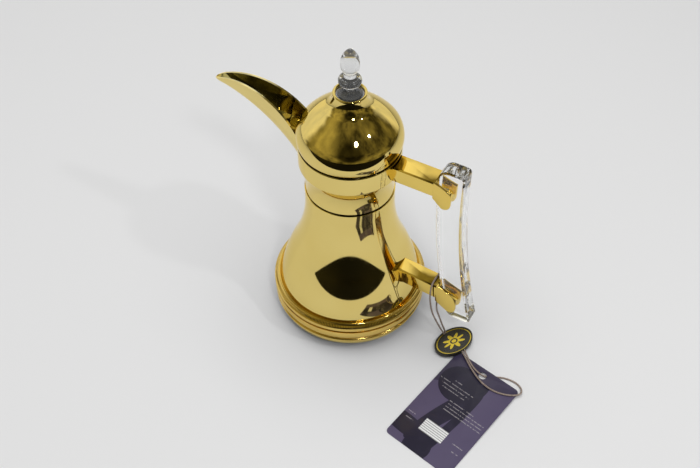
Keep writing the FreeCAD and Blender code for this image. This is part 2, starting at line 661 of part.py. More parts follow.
# Stopper core: fixed to the lid, it turns in the sleeve and opens the port towards the beak.
core_outer = sleeve_inner - s.turn_clearance
core_inner = core_outer - s.core_wall
plate_bottom = sleeve_top + s.turn_clearance
plate_top = plate_bottom + s.core_plate_height
core_body = turned("core_body", [
    (core_inner, sleeve_bottom), (core_outer, sleeve_bottom), (core_outer, plate_bottom),
    (s.core_plate_radius, plate_bottom), (s.core_plate_radius, plate_top), (s.core_post_radius, plate_top),
    (s.core_post_radius, seat_bottom), (s.rod_radius, seat_bottom), (s.rod_radius, plate_bottom),
    (core_inner, plate_bottom)])
core_port = block("core_port", s.port_width, s.stopper_hole_radius, s.port_height,
                  -s.port_width / 2, no_offset, port_bottom)
keep("stopper_core", cut("stopper_core", core_body, core_port))

# Finial rod: threaded rod with a head under the core's plate.
keep("finial_rod", turned("finial_rod", [
    (0, plate_bottom - s.rod_head_height), (s.rod_head_radius, plate_bottom - s.rod_head_height),
    (s.rod_head_radius, plate_bottom), (s.rod_radius, plate_bottom), (s.rod_radius, rod_top), (0, rod_top)]))

# Grip: a clear bar between the arms, upright at the top and leaning out at the bottom.
grip_back = s.grip_face_reach - s.grip_depth
bend_centre = s.grip_face_reach + s.grip_curve
back_curve = s.grip_curve + s.grip_depth
grip_bend = upper_arm_top - s.grip_bend_drop
grip_top = upper_arm_top + s.grip_top_rise
grip_bottom = lower_arm_top - s.grip_bottom_drop
grip_fall = grip_bend - grip_bottom
face_foot = bend_centre - root(s.grip_curve * s.grip_curve - grip_fall * grip_fall)
back_foot = bend_centre - root(back_curve * back_curve - grip_fall * grip_fall)


def grip_outline(room):
    """Side view of the grip, with room all round where it is cut out of a clasp."""
    top = grip_top + room
    low = grip_bottom - room
    return [(back_foot - room, low), (face_foot + room, low), Bend(s.grip_curve - room, RIGHT),
            (s.grip_face_reach + room, grip_bend), (s.grip_face_reach + room, top),
            (grip_back - room, top), (grip_back - room, grip_bend), Bend(back_curve + room, LEFT)]


EDGE_MATCH = 0.1


def is_grip_corner(edge):
    return abs(edge.BoundBox.YLength - s.grip_width.value) < EDGE_MATCH


def is_back_end(edge):
    """A corner at the back of the grip's top or foot."""
    box = edge.BoundBox
    at_top = box.ZMin > grip_top.value - EDGE_MATCH and box.XMax < grip_back.value + EDGE_MATCH
    at_foot = box.ZMax < grip_bottom.value + EDGE_MATCH and box.XMax < back_foot.value + EDGE_MATCH
    return is_grip_corner(edge) and (at_top or at_foot)


def is_front_end(edge):
    """A corner at the front of the grip's top or foot."""
    box = edge.BoundBox
    at_top = box.ZMin > grip_top.value - EDGE_MATCH and box.XMin > s.grip_face_reach.value - EDGE_MATCH
    at_foot = box.ZMax < grip_bottom.value + EDGE_MATCH and box.XMin > face_foot.value - EDGE_MATCH
    return is_grip_corner(edge) and (at_top or at_foot)


def is_grip_side(edge):
    return edge.BoundBox.YLength < FLAT_EDGE


grip_bar = side_plate("grip_bar", grip_outline(no_offset), s.grip_width)
dress(grip_bar, "Fillet", "grip_back_ends", s.grip_back_round, is_back_end)
dress(grip_bar, "Fillet", "grip_front_ends", s.grip_front_round, is_front_end)
dress(grip_bar, "Chamfer", "grip_bevel", s.grip_bevel, is_grip_side)

# Arms: bevelled gold bars that end on the head and on the body.
grip_lean = grip_bend - lower_axis
back_at_lower = bend_centre - root(back_curve * back_curve - grip_lean * grip_lean)
upper_arm_reach = grip_back - s.upper_arm_gap
lower_arm_reach = back_at_lower - s.lower_arm_gap
upper_bottom = upper_arm_top - s.upper_arm_height
lower_bottom = lower_arm_top - s.lower_arm_height
upper_root = s.head_foot_radius - s.shell_wall
lower_root = s.neck_radius
slope_rise = (lower_arm_reach - lower_root) * sine(s.lower_arm_angle) / cosine(s.lower_arm_angle)


def is_long_edge(edge):
    return edge.BoundBox.XLength > s.upper_arm_height.value and edge.BoundBox.YLength < FLAT_EDGE


upper_bar = dress(side_plate("upper_bar", [
    (upper_root, upper_bottom), (upper_arm_reach, upper_bottom), (upper_arm_reach, upper_arm_top),
    (upper_root, upper_arm_top)], s.upper_arm_width), "Chamfer", "upper_bevel", s.arm_bevel, is_long_edge)
lower_bar = dress(side_plate("lower_bar", [
    (lower_root, lower_bottom + slope_rise), (lower_arm_reach, lower_bottom),
    (lower_arm_reach, lower_arm_top), (lower_root, lower_arm_top + slope_rise)], s.lower_arm_width),
    "Chamfer", "lower_bevel", s.arm_bevel, is_long_edge)

# Studs: threaded pins from the arms through the clasps into the grip.
upper_stud_start = upper_seat + upper_screw_length + s.stud_gap
lower_stud_start = lower_seat + lower_screw_length + s.stud_gap
upper_stud_length = grip_back + s.stud_in_grip - upper_stud_start
lower_stud_length = back_at_lower + s.stud_in_grip - lower_stud_start
upper_stud = rod("upper_stud", s.stud_radius, upper_stud_length, upper_stud_start, upper_axis)
lower_stud = rod("lower_stud", s.stud_radius, lower_stud_length, lower_stud_start, lower_axis)
keep("upper_stud", upper_stud)
keep("lower_stud", lower_stud)
keep("grip", cut("grip", grip_bar, upper_stud, lower_stud))
keep("upper_arm", cut("upper_arm", upper_bar, head_form, upper_stud,
                      screw_hole("upper_arm_hole", upper_seat, upper_axis, upper_screw_length)))
keep("lower_arm", cut("lower_arm", lower_bar, body_form, lower_stud,
                      screw_hole("lower_arm_hole", lower_seat, lower_axis, lower_screw_length)))

# Clasps: forked gold ends that take the grip between two cheeks with hanging tongues.
grip_room = side_plate("grip_room", grip_outline(s.clasp_fit), s.grip_width + s.clasp_fit * 2)


def clasp_outline(back, top, bottom, reach, rise):
    """Side view of a clasp: it stands proud of the arm by rise at the back and its tongue hangs below."""
    front = back + reach
    tip = bottom - s.clasp_tongue
    return [(back, bottom), (front - s.clasp_round - s.clasp_lip, tip), Bend(s.clasp_round, LEFT),
            (front, tip + s.clasp_round), (front, top - s.clasp_fall + s.clasp_lip), (back, top + rise)]


keep("upper_clasp", cut("upper_clasp", side_plate("upper_fork", clasp_outline(
    upper_arm_reach, upper_arm_top, upper_bottom, s.clasp_reach, s.clasp_lip), s.clasp_width),
    grip_room, upper_stud))
keep("lower_clasp", cut("lower_clasp", side_plate("lower_fork", clasp_outline(
    lower_arm_reach, lower_arm_top, lower_bottom, s.lower_clasp_reach, s.lower_clasp_rise), s.clasp_width),
    grip_room, lower_stud))

# Tag card: lies on the floor with its upper edge on the cord that passes under it.
card_tilt = math.degrees(math.asin(s.card_lift.value / s.card_length.value))
card_place = Placement(Vector(s.card_foot_x.value, s.card_foot_y.value, 0),
                       Rotation(Vector(0, 0, 1), s.card_angle.value) * Rotation(Vector(1, 0, 0), card_tilt))


def is_upright(edge):
    return edge.BoundBox.ZLength > FLAT_EDGE and edge.BoundBox.XLength < FLAT_EDGE


def flat_card(name, width, length, thickness, corner, hole):
    """A rounded plate from its lower edge's middle, with a hole near its upper edge."""
    body = doc.addObject("PartDesign::Body", name)
    profile = new_sketch(body, name + "_outline", "XY_Plane")
    half = width / 2
    draw_outline(profile, [(-half, 0), (half, 0), (half, length), (-half, length)])
    feature = body.newObject("PartDesign::Pad", name + "_pad")
    feature.Profile = (profile, [""])
    feature.setExpression("Length", thickness.text)
    if corner:
        dress(body, "Fillet", name + "_corners", corner, is_upright)
    if hole:
        punched = new_sketch(body, name + "_hole", "XY_Plane")
        spot = Vector(hole[0].value, hole[1].value, 0)
        punched.addGeometry(Part.Circle(spot, Vector(0, 0, 1), hole[2].value), False)
        for kind, amount in (("DistanceX", hole[0]), ("DistanceY", hole[1])):
            number = punched.addConstraint(Sketcher.Constraint(kind, -1, 1, 0, 3, amount.value))
            punched.setExpression(f"Constraints[{number}]", amount.text)
        number = punched.addConstraint(Sketcher.Constraint("Radius", 0, hole[2].value))
        punched.setExpression(f"Constraints[{number}]", hole[2].text)
        pocket = body.newObject("PartDesign::Pocket", name + "_punch")
        pocket.Profile = (punched, [""])
        pocket.Type = "ThroughAll"
        pocket.Reversed = True
    return body


card = flat_card("tag_card", s.card_width, s.card_length, s.card_thickness, s.card_corner, (
    s.card_hole_side - s.card_width / 2, s.card_length - s.card_hole_edge, s.card_hole_radius))
card.Placement = card_place
keep("tag_card", card)
label = flat_card("tag_label", s.label_width, s.label_length, s.label_thickness, None, None)
label.Placement = card_place * Placement(Vector(s.label_side.value + s.label_width.value / 2
                                                - s.card_width.value / 2, s.label_up.value,
                                                s.card_thickness.value), Rotation())
keep("tag_label", label)

# Tag seal: oval plastic seal with a raised border. One side is on the floor, the other on the card's corner.


def oval(length, width, height, base):
    edge = Part.Ellipse(Vector(0, 0, base), length / 2, width / 2).toShape()
    return Part.Face(Part.Wire(edge)).extrude(Vector(0, 0, height))


seal_plate = oval(s.tag_seal_length.value, s.tag_seal_width.value,
                  s.tag_seal_thickness.value + s.tag_seal_border_height.value, 0)
border = s.tag_seal_border.value * 2
seal_plate = seal_plate.cut(oval(s.tag_seal_length.value - border, s.tag_seal_width.value - border,
                                 s.tag_seal_thickness.value, s.tag_seal_thickness.value))
seal_item = shaped("tag_seal", seal_plate)
tilt = math.radians(s.tag_seal_tilt_angle.value)
seal_height = s.tag_seal_width.value / 2 * math.sin(tilt) + s.joint_clearance.value
seal_turn = Rotation(Vector(0, 0, 1), s.tag_seal_turn_angle.value)
seal_lean = Rotation(Vector(1, 0, 0), -s.tag_seal_tilt_angle.value)
seal_item.Placement = Placement(
    Vector(s.tag_seal_x.value, s.tag_seal_y.value, seal_height), seal_turn * seal_lean)
keep("tag_seal", seal_item)

# Tag cords: one goes round the lower arm, the other from the seal through the card's hole and back.
LOOP_ROUTE = [
    (106.4, -4.3, 2.4), (103.9, -5.7, 8.8), (101.5, -7.2, 15.0), (99.0, -9.4, 24.0), (95.0, -12.2, 37.0),
    (92.4, -13.4, 51.0), (91.4, -14.2, 65.0), (91.4, -12.6, 79.0), (91.8, 0.0, 79.6), (92.2, 12.6, 78.6),
    (92.4, 13.6, 64.0), (92.6, 11.6, 50.6), (93.4, 0.0, 49.4), (96.6, -8.4, 42.0), (99.6, -6.6, 30.5),
    (102.6, -4.8, 18.0), (105.0, -3.4, 10.0), (106.8, -2.4, 2.4)]
CARD_ROUTE = [
    (130.6, -12.6, 5.4), (136.0, -17.6, 4.4), (141.6, -22.8, 3.7), (148.0, -27.4, 3.6), (153.4, -29.6, 3.85),
    (157.8, -29.6, 2.15), (162.0, -28.2, 0.9), (167.2, -25.3, 0.9), (174.0, -22.0, 0.9), (182.0, -20.6, 0.9),
    (190.8, -21.8, 1.0), (196.6, -27.2, 1.8), (195.8, -34.4, 3.5), (185.4, -39.8, 3.6), (172.8, -41.4, 3.4),
    (161.0, -38.4, 3.4), (151.4, -32.8, 3.5), (143.4, -26.8, 3.6), (136.6, -20.8, 4.2), (130.0, -15.6, 5.2)]
BEND_SHARE = 0.45


def cord(name, route):
    """A round cord along straight runs that large arcs join."""
    points = [Vector(*point) for point in route]
    edges = []
    start = points[0]
    radii = []
    for number in range(1, len(points) - 1):
        before = points[number - 1] - points[number]
        after = points[number + 1] - points[number]
        turn = math.pi - before.getAngle(after)
        cut_back = BEND_SHARE * min(before.Length, after.Length)
        radii.append(cut_back / math.tan(turn / 2))
        enter = points[number] + before.normalize() * cut_back
        leave = points[number] + after.normalize() * cut_back
        gap = radii[-1] * (1 / math.cos(turn / 2) - 1)
        middle = points[number] + (before + after).normalize() * gap
        edges.append(Part.makeLine(start, enter))
        edges.append(Part.Arc(enter, middle, leave).toShape())
        start = leave
    edges.append(Part.makeLine(start, points[-1]))
    spine = Part.Wire(edges)
    radius = s.cord_diameter.value / 2
    section = Part.Wire(Part.makeCircle(radius, points[0], points[1] - points[0]))
    tube = spine.makePipeShell([section], True, False)
    share = tube.Volume / (math.pi * radius ** 2 * spine.Length)
    print(f"{name}: {spine.Length:.1f} mm long, tightest bend {min(radii):.1f} mm, volume share {share:.4f}")
    return shaped(name, tube)


keep("tag_loop_cord", cord("tag_loop_cord", LOOP_ROUTE))
keep("tag_card_cord", cord("tag_card_cord", CARD_ROUTE))

doc.recompute()
faults = [item.Name for item in doc.Objects if "Invalid" in item.State or "Error" in item.State]
for name, item in nodes.items():
    item.Label = name
    if item.Shape.isNull() or not item.Shape.isValid() or len(item.Shape.Solids) != 1:
        faults.append(name)
if faults:
    raise RuntimeError("failed: " + ", ".join(faults))

os.makedirs("parts", exist_ok=True)
for name, item in nodes.items():
    item.Shape.exportStep(f"parts/{name}.step")
    print(f"{name}: {item.Shape.Volume / 1000:.2f} cm3, top {item.Shape.BoundBox.ZMax:.2f} mm")
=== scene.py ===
import math

import bmesh
import bpy
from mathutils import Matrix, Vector


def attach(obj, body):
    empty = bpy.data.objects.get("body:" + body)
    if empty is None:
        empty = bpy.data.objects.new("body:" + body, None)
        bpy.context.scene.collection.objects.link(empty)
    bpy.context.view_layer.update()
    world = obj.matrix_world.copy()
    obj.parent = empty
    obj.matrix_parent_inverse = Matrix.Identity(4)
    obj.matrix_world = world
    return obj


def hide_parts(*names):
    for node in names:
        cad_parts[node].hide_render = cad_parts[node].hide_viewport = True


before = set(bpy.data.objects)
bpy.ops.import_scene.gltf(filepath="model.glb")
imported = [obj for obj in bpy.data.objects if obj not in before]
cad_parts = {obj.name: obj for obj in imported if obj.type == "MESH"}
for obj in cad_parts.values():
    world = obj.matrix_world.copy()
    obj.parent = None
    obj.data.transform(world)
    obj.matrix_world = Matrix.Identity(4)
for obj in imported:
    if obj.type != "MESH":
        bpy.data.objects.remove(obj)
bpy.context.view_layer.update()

# Foot pad and base cushion: soft black rubber discs under the pot and under the flask.
# They are moulded and slightly dusty; the pad is pressed into a recess of the base cup.


def principled(name, colour, roughness, metallic=0.0):
    """A new material with these values on its shader, and the shader."""
    material = bpy.data.materials.new(name)
    material.use_nodes = True
    shader = material.node_tree.nodes["Principled BSDF"]
    shader.inputs["Base Color"].default_value = (*colour, 1)
    shader.inputs["Roughness"].default_value = roughness
    shader.inputs["Metallic"].default_value = metallic
    return material, shader


def grain(material, scale, stretch=(1, 1, 1), detail=4.0):
    """Noise in the object's own space, stretched along its axes."""
    nodes = material.node_tree.nodes
    place = nodes.new("ShaderNodeTexCoord")
    spread = nodes.new("ShaderNodeMapping")
    spread.inputs["Scale"].default_value = stretch
    noise = nodes.new("ShaderNodeTexNoise")
    noise.inputs["Scale"].default_value = scale
    noise.inputs["Detail"].default_value = detail
    material.node_tree.links.new(place.outputs["Object"], spread.inputs["Vector"])
    material.node_tree.links.new(spread.outputs["Vector"], noise.inputs["Vector"])
    return noise.outputs["Fac"]


GRAIN_LOW = 0.3
GRAIN_HIGH = 0.7


def tint(material, value, low_colour, high_colour, low=GRAIN_LOW, high=GRAIN_HIGH):
    """Colour that goes from one tone to another with a texture's value."""
    ramp = material.node_tree.nodes.new("ShaderNodeValToRGB")
    ramp.color_ramp.elements[0].position = low
    ramp.color_ramp.elements[0].color = (*low_colour, 1)
    ramp.color_ramp.elements[1].position = high
    ramp.color_ramp.elements[1].color = (*high_colour, 1)
    material.node_tree.links.new(value, ramp.inputs["Fac"])
    shader = material.node_tree.nodes["Principled BSDF"]
    material.node_tree.links.new(ramp.outputs["Color"], shader.inputs["Base Color"])


def gloss(material, value, low, high):
    """Roughness that goes from low to high with a texture's value."""
    span = material.node_tree.nodes.new("ShaderNodeMapRange")
    span.inputs["From Min"].default_value = GRAIN_LOW
    span.inputs["From Max"].default_value = GRAIN_HIGH
    span.inputs["To Min"].default_value = low
    span.inputs["To Max"].default_value = high
    material.node_tree.links.new(value, span.inputs["Value"])
    shader = material.node_tree.nodes["Principled BSDF"]
    material.node_tree.links.new(span.outputs["Result"], shader.inputs["Roughness"])


def relief(material, value, depth):
    """Bump of this depth, in metres, from a texture's value."""
    bump = material.node_tree.nodes.new("ShaderNodeBump")
    bump.inputs["Strength"].default_value = 1.0
    bump.inputs["Distance"].default_value = depth
    material.node_tree.links.new(value, bump.inputs["Height"])
    shader = material.node_tree.nodes["Principled BSDF"]
    material.node_tree.links.new(bump.outputs["Normal"], shader.inputs["Normal"])


def dress(material, *names):
    """Gives CAD nodes this material."""
    for name in names:
        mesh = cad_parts[name].data
        mesh.materials.clear()
        mesh.materials.append(material)


rubber, _ = principled("black_rubber", (0.03, 0.03, 0.03), 0.7)
rubber_grain = grain(rubber, 900)
tint(rubber, rubber_grain, (0.022, 0.022, 0.022), (0.045, 0.044, 0.042))
gloss(rubber, rubber_grain, 0.55, 0.8)
relief(rubber, rubber_grain, 0.00005)
dress(rubber, "foot_pad", "base_cushion")

# Base cup: the gold bowl that closes the pot's bottom.
# Moulded plastic, plated and polished; its spigot is glued into the body shell.
PLATING_TINT = (1.0, 0.93, 0.72, 1)
WAVE_SCALE = 28
WAVE_DEPTH = 0.00003
MARK_SCALE = 260


def plated(name, colour, deep, roughness):
    """Polished gold plating, with the faint waves and wiping marks of plated plastic."""
    material, shader = principled(name, colour, roughness, 1.0)
    shader.inputs["Specular Tint"].default_value = PLATING_TINT
    waves = grain(material, WAVE_SCALE, detail=1.5)
    marks = grain(material, MARK_SCALE, (1, 1, 0.25))
    tint(material, waves, deep, colour)
    gloss(material, marks, roughness * 0.6, roughness * 1.6)
    relief(material, waves, WAVE_DEPTH)
    return material


def bent(start, end, radius, side, count=24):
    """Points after start along an arc to end; its centre is left (1) or right (-1) of the way."""
    first = Vector(start)
    last = Vector(end)
    chord = last - first
    reach = math.sqrt(max(radius ** 2 - (chord.length / 2) ** 2, 0))
    left = Vector((-chord.y, chord.x)).normalized()
    centre = (first + last) / 2 + left * reach * side
    begin = math.atan2(first.y - centre.y, first.x - centre.x)
    turn = math.atan2(last.y - centre.y, last.x - centre.x) - begin
    if side > 0 and turn < 0:
        turn += 2 * math.pi
    if side < 0 and turn > 0:
        turn -= 2 * math.pi
    points = []
    for step in range(1, count + 1):
        angle = begin + turn * step / count
        points.append((centre.x + radius * math.cos(angle), centre.y + radius * math.sin(angle)))
    return points


TOUCHING = 1e-7


def lathe(name, outline, material, body, node, steps, shape=None):
    """A turned piece from a closed outline of (radius, height) in millimetres."""
    bm = bmesh.new()
    corners = [bm.verts.new((radius / 1000, 0, height / 1000)) for radius, height in outline]
    edges = [bm.edges.new((corners[number - 1], corners[number])) for number in range(len(corners))
             if outline[number - 1][0] > 0 or outline[number][0] > 0]
    bmesh.ops.spin(bm, geom=corners + edges, cent=(0, 0, 0), axis=(0, 0, 1), dvec=(0, 0, 0),
                   angle=2 * math.pi, steps=steps, use_merge=True, use_duplicate=False)
    bmesh.ops.remove_doubles(bm, verts=bm.verts, dist=TOUCHING)
    if shape:
        shape(bm)
    finished(bm, name, material, body, node)


def finished(bm, name, material, body, node, sharp=32):
    """Turns a bmesh into a smooth-shaded piece that rides on a body and stands for a node."""
    bmesh.ops.recalc_face_normals(bm, faces=bm.faces)
    mesh = bpy.data.meshes.new(name)
    bm.to_mesh(mesh)
    bm.free()
    mesh.polygons.foreach_set("use_smooth", [True] * len(mesh.polygons))
    mesh.set_sharp_from_angle(angle=math.radians(sharp))
    mesh.materials.append(material)
    piece = bpy.data.objects.new(name, mesh)
    bpy.context.scene.collection.objects.link(piece)
    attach(piece, body)
    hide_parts(node)


LEFT = 1
RIGHT = -1
ROUND_STEPS = 256
GOLD = (0.80, 0.635, 0.22)
GOLD_DEEP = (0.77, 0.60, 0.195)
gold = plated("polished_gold", GOLD, GOLD_DEEP, 0.04)
CUP_FOOT = (61, 1.5)
CUP_SHOULDER = (71.8, 14.2)
CUP_CURVE = 15
SPIGOT_OUTSIDE = 65.1
SPIGOT_INSIDE = 63.1
SPIGOT_TOP = 30.2
pad_recess = [(0, 3), (59, 3), (59, 1.5), CUP_FOOT]
spigot = [(SPIGOT_OUTSIDE, CUP_SHOULDER[1]), (SPIGOT_OUTSIDE, SPIGOT_TOP),
          (SPIGOT_INSIDE, SPIGOT_TOP), (SPIGOT_INSIDE, CUP_SHOULDER[1])]
cup_inside = [(57, 6), (0, 6)]
cup_outline = pad_recess + bent(CUP_FOOT, CUP_SHOULDER, CUP_CURVE, LEFT) + spigot + cup_inside
lathe("pot_base_cup", cup_outline, gold, "pot", "base_cup", ROUND_STEPS)

# Base ring: the ribbed belt round the bottom, darker because it is ribbed and brushed.
# Plated like the rest; its upper edge has fine knurling and a bright rolled lip.
ring_gold = plated("ribbed_gold", (0.78, 0.56, 0.16), (0.66, 0.455, 0.115), 0.14)
KNURL_TEETH = 300
KNURL_STEPS = 2
KNURL_DEPTH = 0.00028
KNURL_LOW = 0.0351
KNURL_HIGH = 0.0377
KNURL_INSIDE = 0.0700


def knurl(bm):
    """Presses notches into the sloping upper edge, one for each second step of the turning."""
    for vert in bm.verts:
        if KNURL_LOW < vert.co.z < KNURL_HIGH and vert.co.xy.length > KNURL_INSIDE:
            turn = math.atan2(vert.co.y, vert.co.x) / (2 * math.pi) * KNURL_TEETH
            if round(turn * KNURL_STEPS) % KNURL_STEPS >= KNURL_STEPS / 2:
                outward = Vector((vert.co.x, vert.co.y, vert.co.xy.length)).normalized()
                vert.co -= outward * KNURL_DEPTH


RING_INSIDE = 67.1
FOOT_ROLL_CURVE = 1.8
WIDE_BAND_CURVE = 12
NARROW_BAND_CURVE = 5
LIP_CURVE = 1.95
WIDE_BAND = ((72.2, 19.65), (72.7, 27.75))
NARROW_BAND = ((72.8, 30.25), (72.9, 34.75))
LIP = ((70.1, 38.1), (RING_INSIDE, 38.1))
foot_roll = bent(CUP_SHOULDER, (71.8, 17.2), FOOT_ROLL_CURVE, LEFT, 10)
lower_groove = [(71.4, 17.3), (71.2, 17.5), (71.2, 19.3), (71.4, 19.6), WIDE_BAND[0]]
upper_groove = [(71.9, 27.85), (71.7, 28.1), (71.7, 29.9), (71.9, 30.15), NARROW_BAND[0]]
knurled_slope = [(72.6, 35.05), (72.5, 35.3), (71.9, 36.0), (71.2, 36.8), (70.5, 37.6), (70.2, 37.9)]
ring_outline = [(RING_INSIDE, CUP_SHOULDER[1]), CUP_SHOULDER] + foot_roll + lower_groove
ring_outline += bent(*WIDE_BAND, WIDE_BAND_CURVE, LEFT, 14) + upper_groove
ring_outline += bent(*NARROW_BAND, NARROW_BAND_CURVE, LEFT, 10) + knurled_slope
ring_outline += [LIP[0]] + bent(*LIP, LIP_CURVE, LEFT, 12)
lathe("pot_base_ring", ring_outline, ring_gold, "pot", "base_ring",
      KNURL_TEETH * KNURL_STEPS, knurl)

# Body shell: the bell-shaped skin, mirror bright from the ring to the neck.
# One plated moulding whose flare is a full arc below and a hollow arc above.
SHELL_WALL = 1.8
SKIRT_RADIUS = 67
SKIRT_FOOT = 24.5
SKIRT_TOP = 38.5
NECK_RADIUS = 40.4
NECK_FOOT = 140
NECK_TOP = 152.6
NECK_EASE = 0.4
BELL_CURVE = 196.16
INNER_BELL_CURVE = 194.4
HOLLOW_CURVE = 144.7
LEAN = math.radians(24.5)
flare_bend = (NECK_RADIUS + HOLLOW_CURVE * (1 - math.cos(LEAN)), NECK_FOOT - HOLLOW_CURVE * math.sin(LEAN))
inner_bend = (flare_bend[0] - SHELL_WALL * math.cos(LEAN), flare_bend[1] - SHELL_WALL * math.sin(LEAN))
inner_neck = NECK_RADIUS - SHELL_WALL
inner_skirt = SKIRT_RADIUS - SHELL_WALL
shell_outline = [(SKIRT_RADIUS, SKIRT_FOOT), (SKIRT_RADIUS, SKIRT_TOP)]
shell_outline += bent((SKIRT_RADIUS, SKIRT_TOP), flare_bend, BELL_CURVE, LEFT, 48)
shell_outline += bent(flare_bend, (NECK_RADIUS, NECK_FOOT), HOLLOW_CURVE, RIGHT, 48)
shell_outline += [(NECK_RADIUS, NECK_TOP - NECK_EASE), (NECK_RADIUS - NECK_EASE, NECK_TOP),
                  (inner_neck, NECK_TOP), (inner_neck, NECK_FOOT)]
shell_outline += bent((inner_neck, NECK_FOOT), inner_bend, HOLLOW_CURVE + SHELL_WALL, LEFT)
shell_outline += bent(inner_bend, (inner_skirt, SKIRT_TOP), INNER_BELL_CURVE, RIGHT)
shell_outline += [(inner_skirt, SKIRT_FOOT)]
lathe("pot_body_shell", shell_outline, gold, "pot", "body_shell", ROUND_STEPS)

# Flask: double-walled glass, silvered inside the gap, which stands on a rubber cushion.
# It is blown and sealed at the lip; only its mouth shows when the stopper is out.
silvered, silvered_shader = principled("silvered_glass", (0.86, 0.87, 0.87), 0.06, 0.9)
silver_grain = grain(silvered, 90)
tint(silvered, silver_grain, (0.78, 0.79, 0.80), (0.90, 0.90, 0.89))
gloss(silvered, silver_grain, 0.03, 0.12)
silvered_shader.inputs["Coat Weight"].default_value = 1.0
dress(silvered, "flask_outer", "flask_inner")

# Seals: black silicone rings under the flask's mouth, in the head's rim and round the stopper; the one in
# the head's rim also stands for the shade in the gap under the lid.
# They are moulded, satin, and seated in their grooves.
silicone, _ = principled("black_silicone", (0.02, 0.02, 0.02), 0.4)
silicone_grain = grain(silicone, 700)
tint(silicone, silicone_grain, (0.012, 0.012, 0.012), (0.03, 0.029, 0.027))
gloss(silicone, silicone_grain, 0.32, 0.5)
# The black rim seal stands partly for a gasket and partly for the shade in the gap under the lid.
dress(silicone, "mouth_gasket", "rim_seal", "stopper_seal")

# Pour insert, stopper sleeve and stopper core: dark moulded plastic inside the head.
# The sleeve drops into the insert, and the core turns in the sleeve to open the port.
liner, _ = principled("dark_liner", (0.06, 0.05, 0.035), 0.42)
liner_grain = grain(liner, 1400)
tint(liner, liner_grain, (0.045, 0.038, 0.026), (0.085, 0.072, 0.05))
gloss(liner, liner_grain, 0.32, 0.52)
relief(liner, liner_grain, 0.00003)
dress(liner, "pour_insert", "stopper_sleeve", "stopper_core")

# Screws, studs and finial rod: turned steel that holds the arms, the grip and the knob.
# Brushed round their axes by the turning.
steel, _ = principled("turned_steel", (0.58, 0.57, 0.55), 0.28, 1.0)
steel_grain = grain(steel, 700, (6, 1, 1))
tint(steel, steel_grain, (0.45, 0.44, 0.43), (0.66, 0.65, 0.63))
gloss(steel, steel_grain, 0.2, 0.38)
dress(steel, "upper_arm_screw", "lower_arm_screw", "upper_stud", "lower_stud", "finial_rod")

# Head collar: the gold head that flares to a plain band under the lid.
# A plated moulding that snaps on the neck; the window to the beak is cut through its wall.
HEAD_BOTTOM = 153.8
HEAD_FOOT = (39.5, 156.2)
FLARE_END = (44.705, 182.7)
BAND_FOOT = (45.0, 184.2)
BAND_TOP = (45.0, 201.2)
HEAD_TOP = 202.8
INNER_FOOT = (37.7, 156.2)
INNER_BAND = 43.2
RIM_INSIDE = 40.8
RIM_ROLL = 1.6
FLARE_CURVE = 70.06
FLARE_FILLET = 3.97
INNER_FLARE_CURVE = 74.04
head_flare = bent(HEAD_FOOT, FLARE_END, FLARE_CURVE, RIGHT, 32)
head_outline = [(39.2, HEAD_BOTTOM), (HEAD_FOOT[0], 154.1), HEAD_FOOT] + head_flare
head_outline += bent(FLARE_END, BAND_FOOT, FLARE_FILLET, LEFT, 6) + [BAND_TOP]
head_outline += bent(BAND_TOP, (BAND_TOP[0] - RIM_ROLL, HEAD_TOP), RIM_ROLL, LEFT, 10)
head_outline += [(RIM_INSIDE, HEAD_TOP), (RIM_INSIDE, BAND_TOP[1]), (INNER_BAND, BAND_TOP[1])]
head_outline += [(INNER_BAND, BAND_FOOT[1])]
head_outline += bent((INNER_BAND, BAND_FOOT[1]), INNER_FOOT, INNER_FLARE_CURVE, LEFT)
head_outline += [(INNER_FOOT[0], HEAD_BOTTOM)]
WINDOW = ((-0.060, -0.008, 0.1675), (-0.030, 0.008, 0.1905))
WINDOW_HALF = -0.02


def cut_window(bm):
    """Cuts the window's four sides into the wall, then takes out what lies inside."""
    low, high = WINDOW
    for axis, place in ((1, low[1]), (1, high[1]), (2, low[2]), (2, high[2])):
        normal = Vector((0, 0, 0))
        normal[axis] = 1
        point = Vector((0, 0, 0))
        point[axis] = place
        near = [face for face in bm.faces if face.calc_center_median().x < WINDOW_HALF]
        edges = {edge for face in near for edge in face.edges}
        verts = {vert for face in near for vert in face.verts}
        bmesh.ops.bisect_plane(bm, geom=list(verts) + list(edges) + near, dist=TOUCHING,
                               plane_co=point, plane_no=normal)
    inside = []
    for face in bm.faces:
        middle = face.calc_center_median()
        if all(low[axis] < middle[axis] < high[axis] for axis in range(3)):
            inside.append(face)
    bmesh.ops.delete(bm, geom=inside, context="FACES")
    rim = [edge for edge in bm.edges if edge.is_boundary]
    bmesh.ops.bridge_loops(bm, edges=rim)


def overlaid(material, mask, colour):
    """Lays one more colour over a material's own wherever the mask is one."""
    shader = material.node_tree.nodes["Principled BSDF"]
    links = material.node_tree.links
    mix = material.node_tree.nodes.new("ShaderNodeMix")
    mix.data_type = "RGBA"
    own = shader.inputs["Base Color"]
    if own.is_linked:
        links.new(own.links[0].from_socket, mix.inputs[6])
    else:
        mix.inputs[6].default_value = own.default_value
    links.new(mask, mix.inputs["Factor"])
    mix.inputs[7].default_value = (*colour, 1)
    links.new(mix.outputs[2], own)


# Colour of the painted shade in the gap between lid and head.
GAP_SHADE_BLACK = (0.02, 0.014, 0.006)


def painted_gap_shade(material, bright, dark):
    """Blackens the plating between these two heights, in millimetres, as painted shade of the gap between
    lid and head.
    """
    nodes = material.node_tree.nodes
    links = material.node_tree.links
    place = nodes.new("ShaderNodeTexCoord")
    split = nodes.new("ShaderNodeSeparateXYZ")
    links.new(place.outputs["Object"], split.inputs["Vector"])
    fade = nodes.new("ShaderNodeMapRange")
    fade.inputs["From Min"].default_value = bright / 1000
    fade.inputs["From Max"].default_value = dark / 1000
    links.new(split.outputs["Z"], fade.inputs["Value"])
    overlaid(material, fade.outputs["Result"], GAP_SHADE_BLACK)
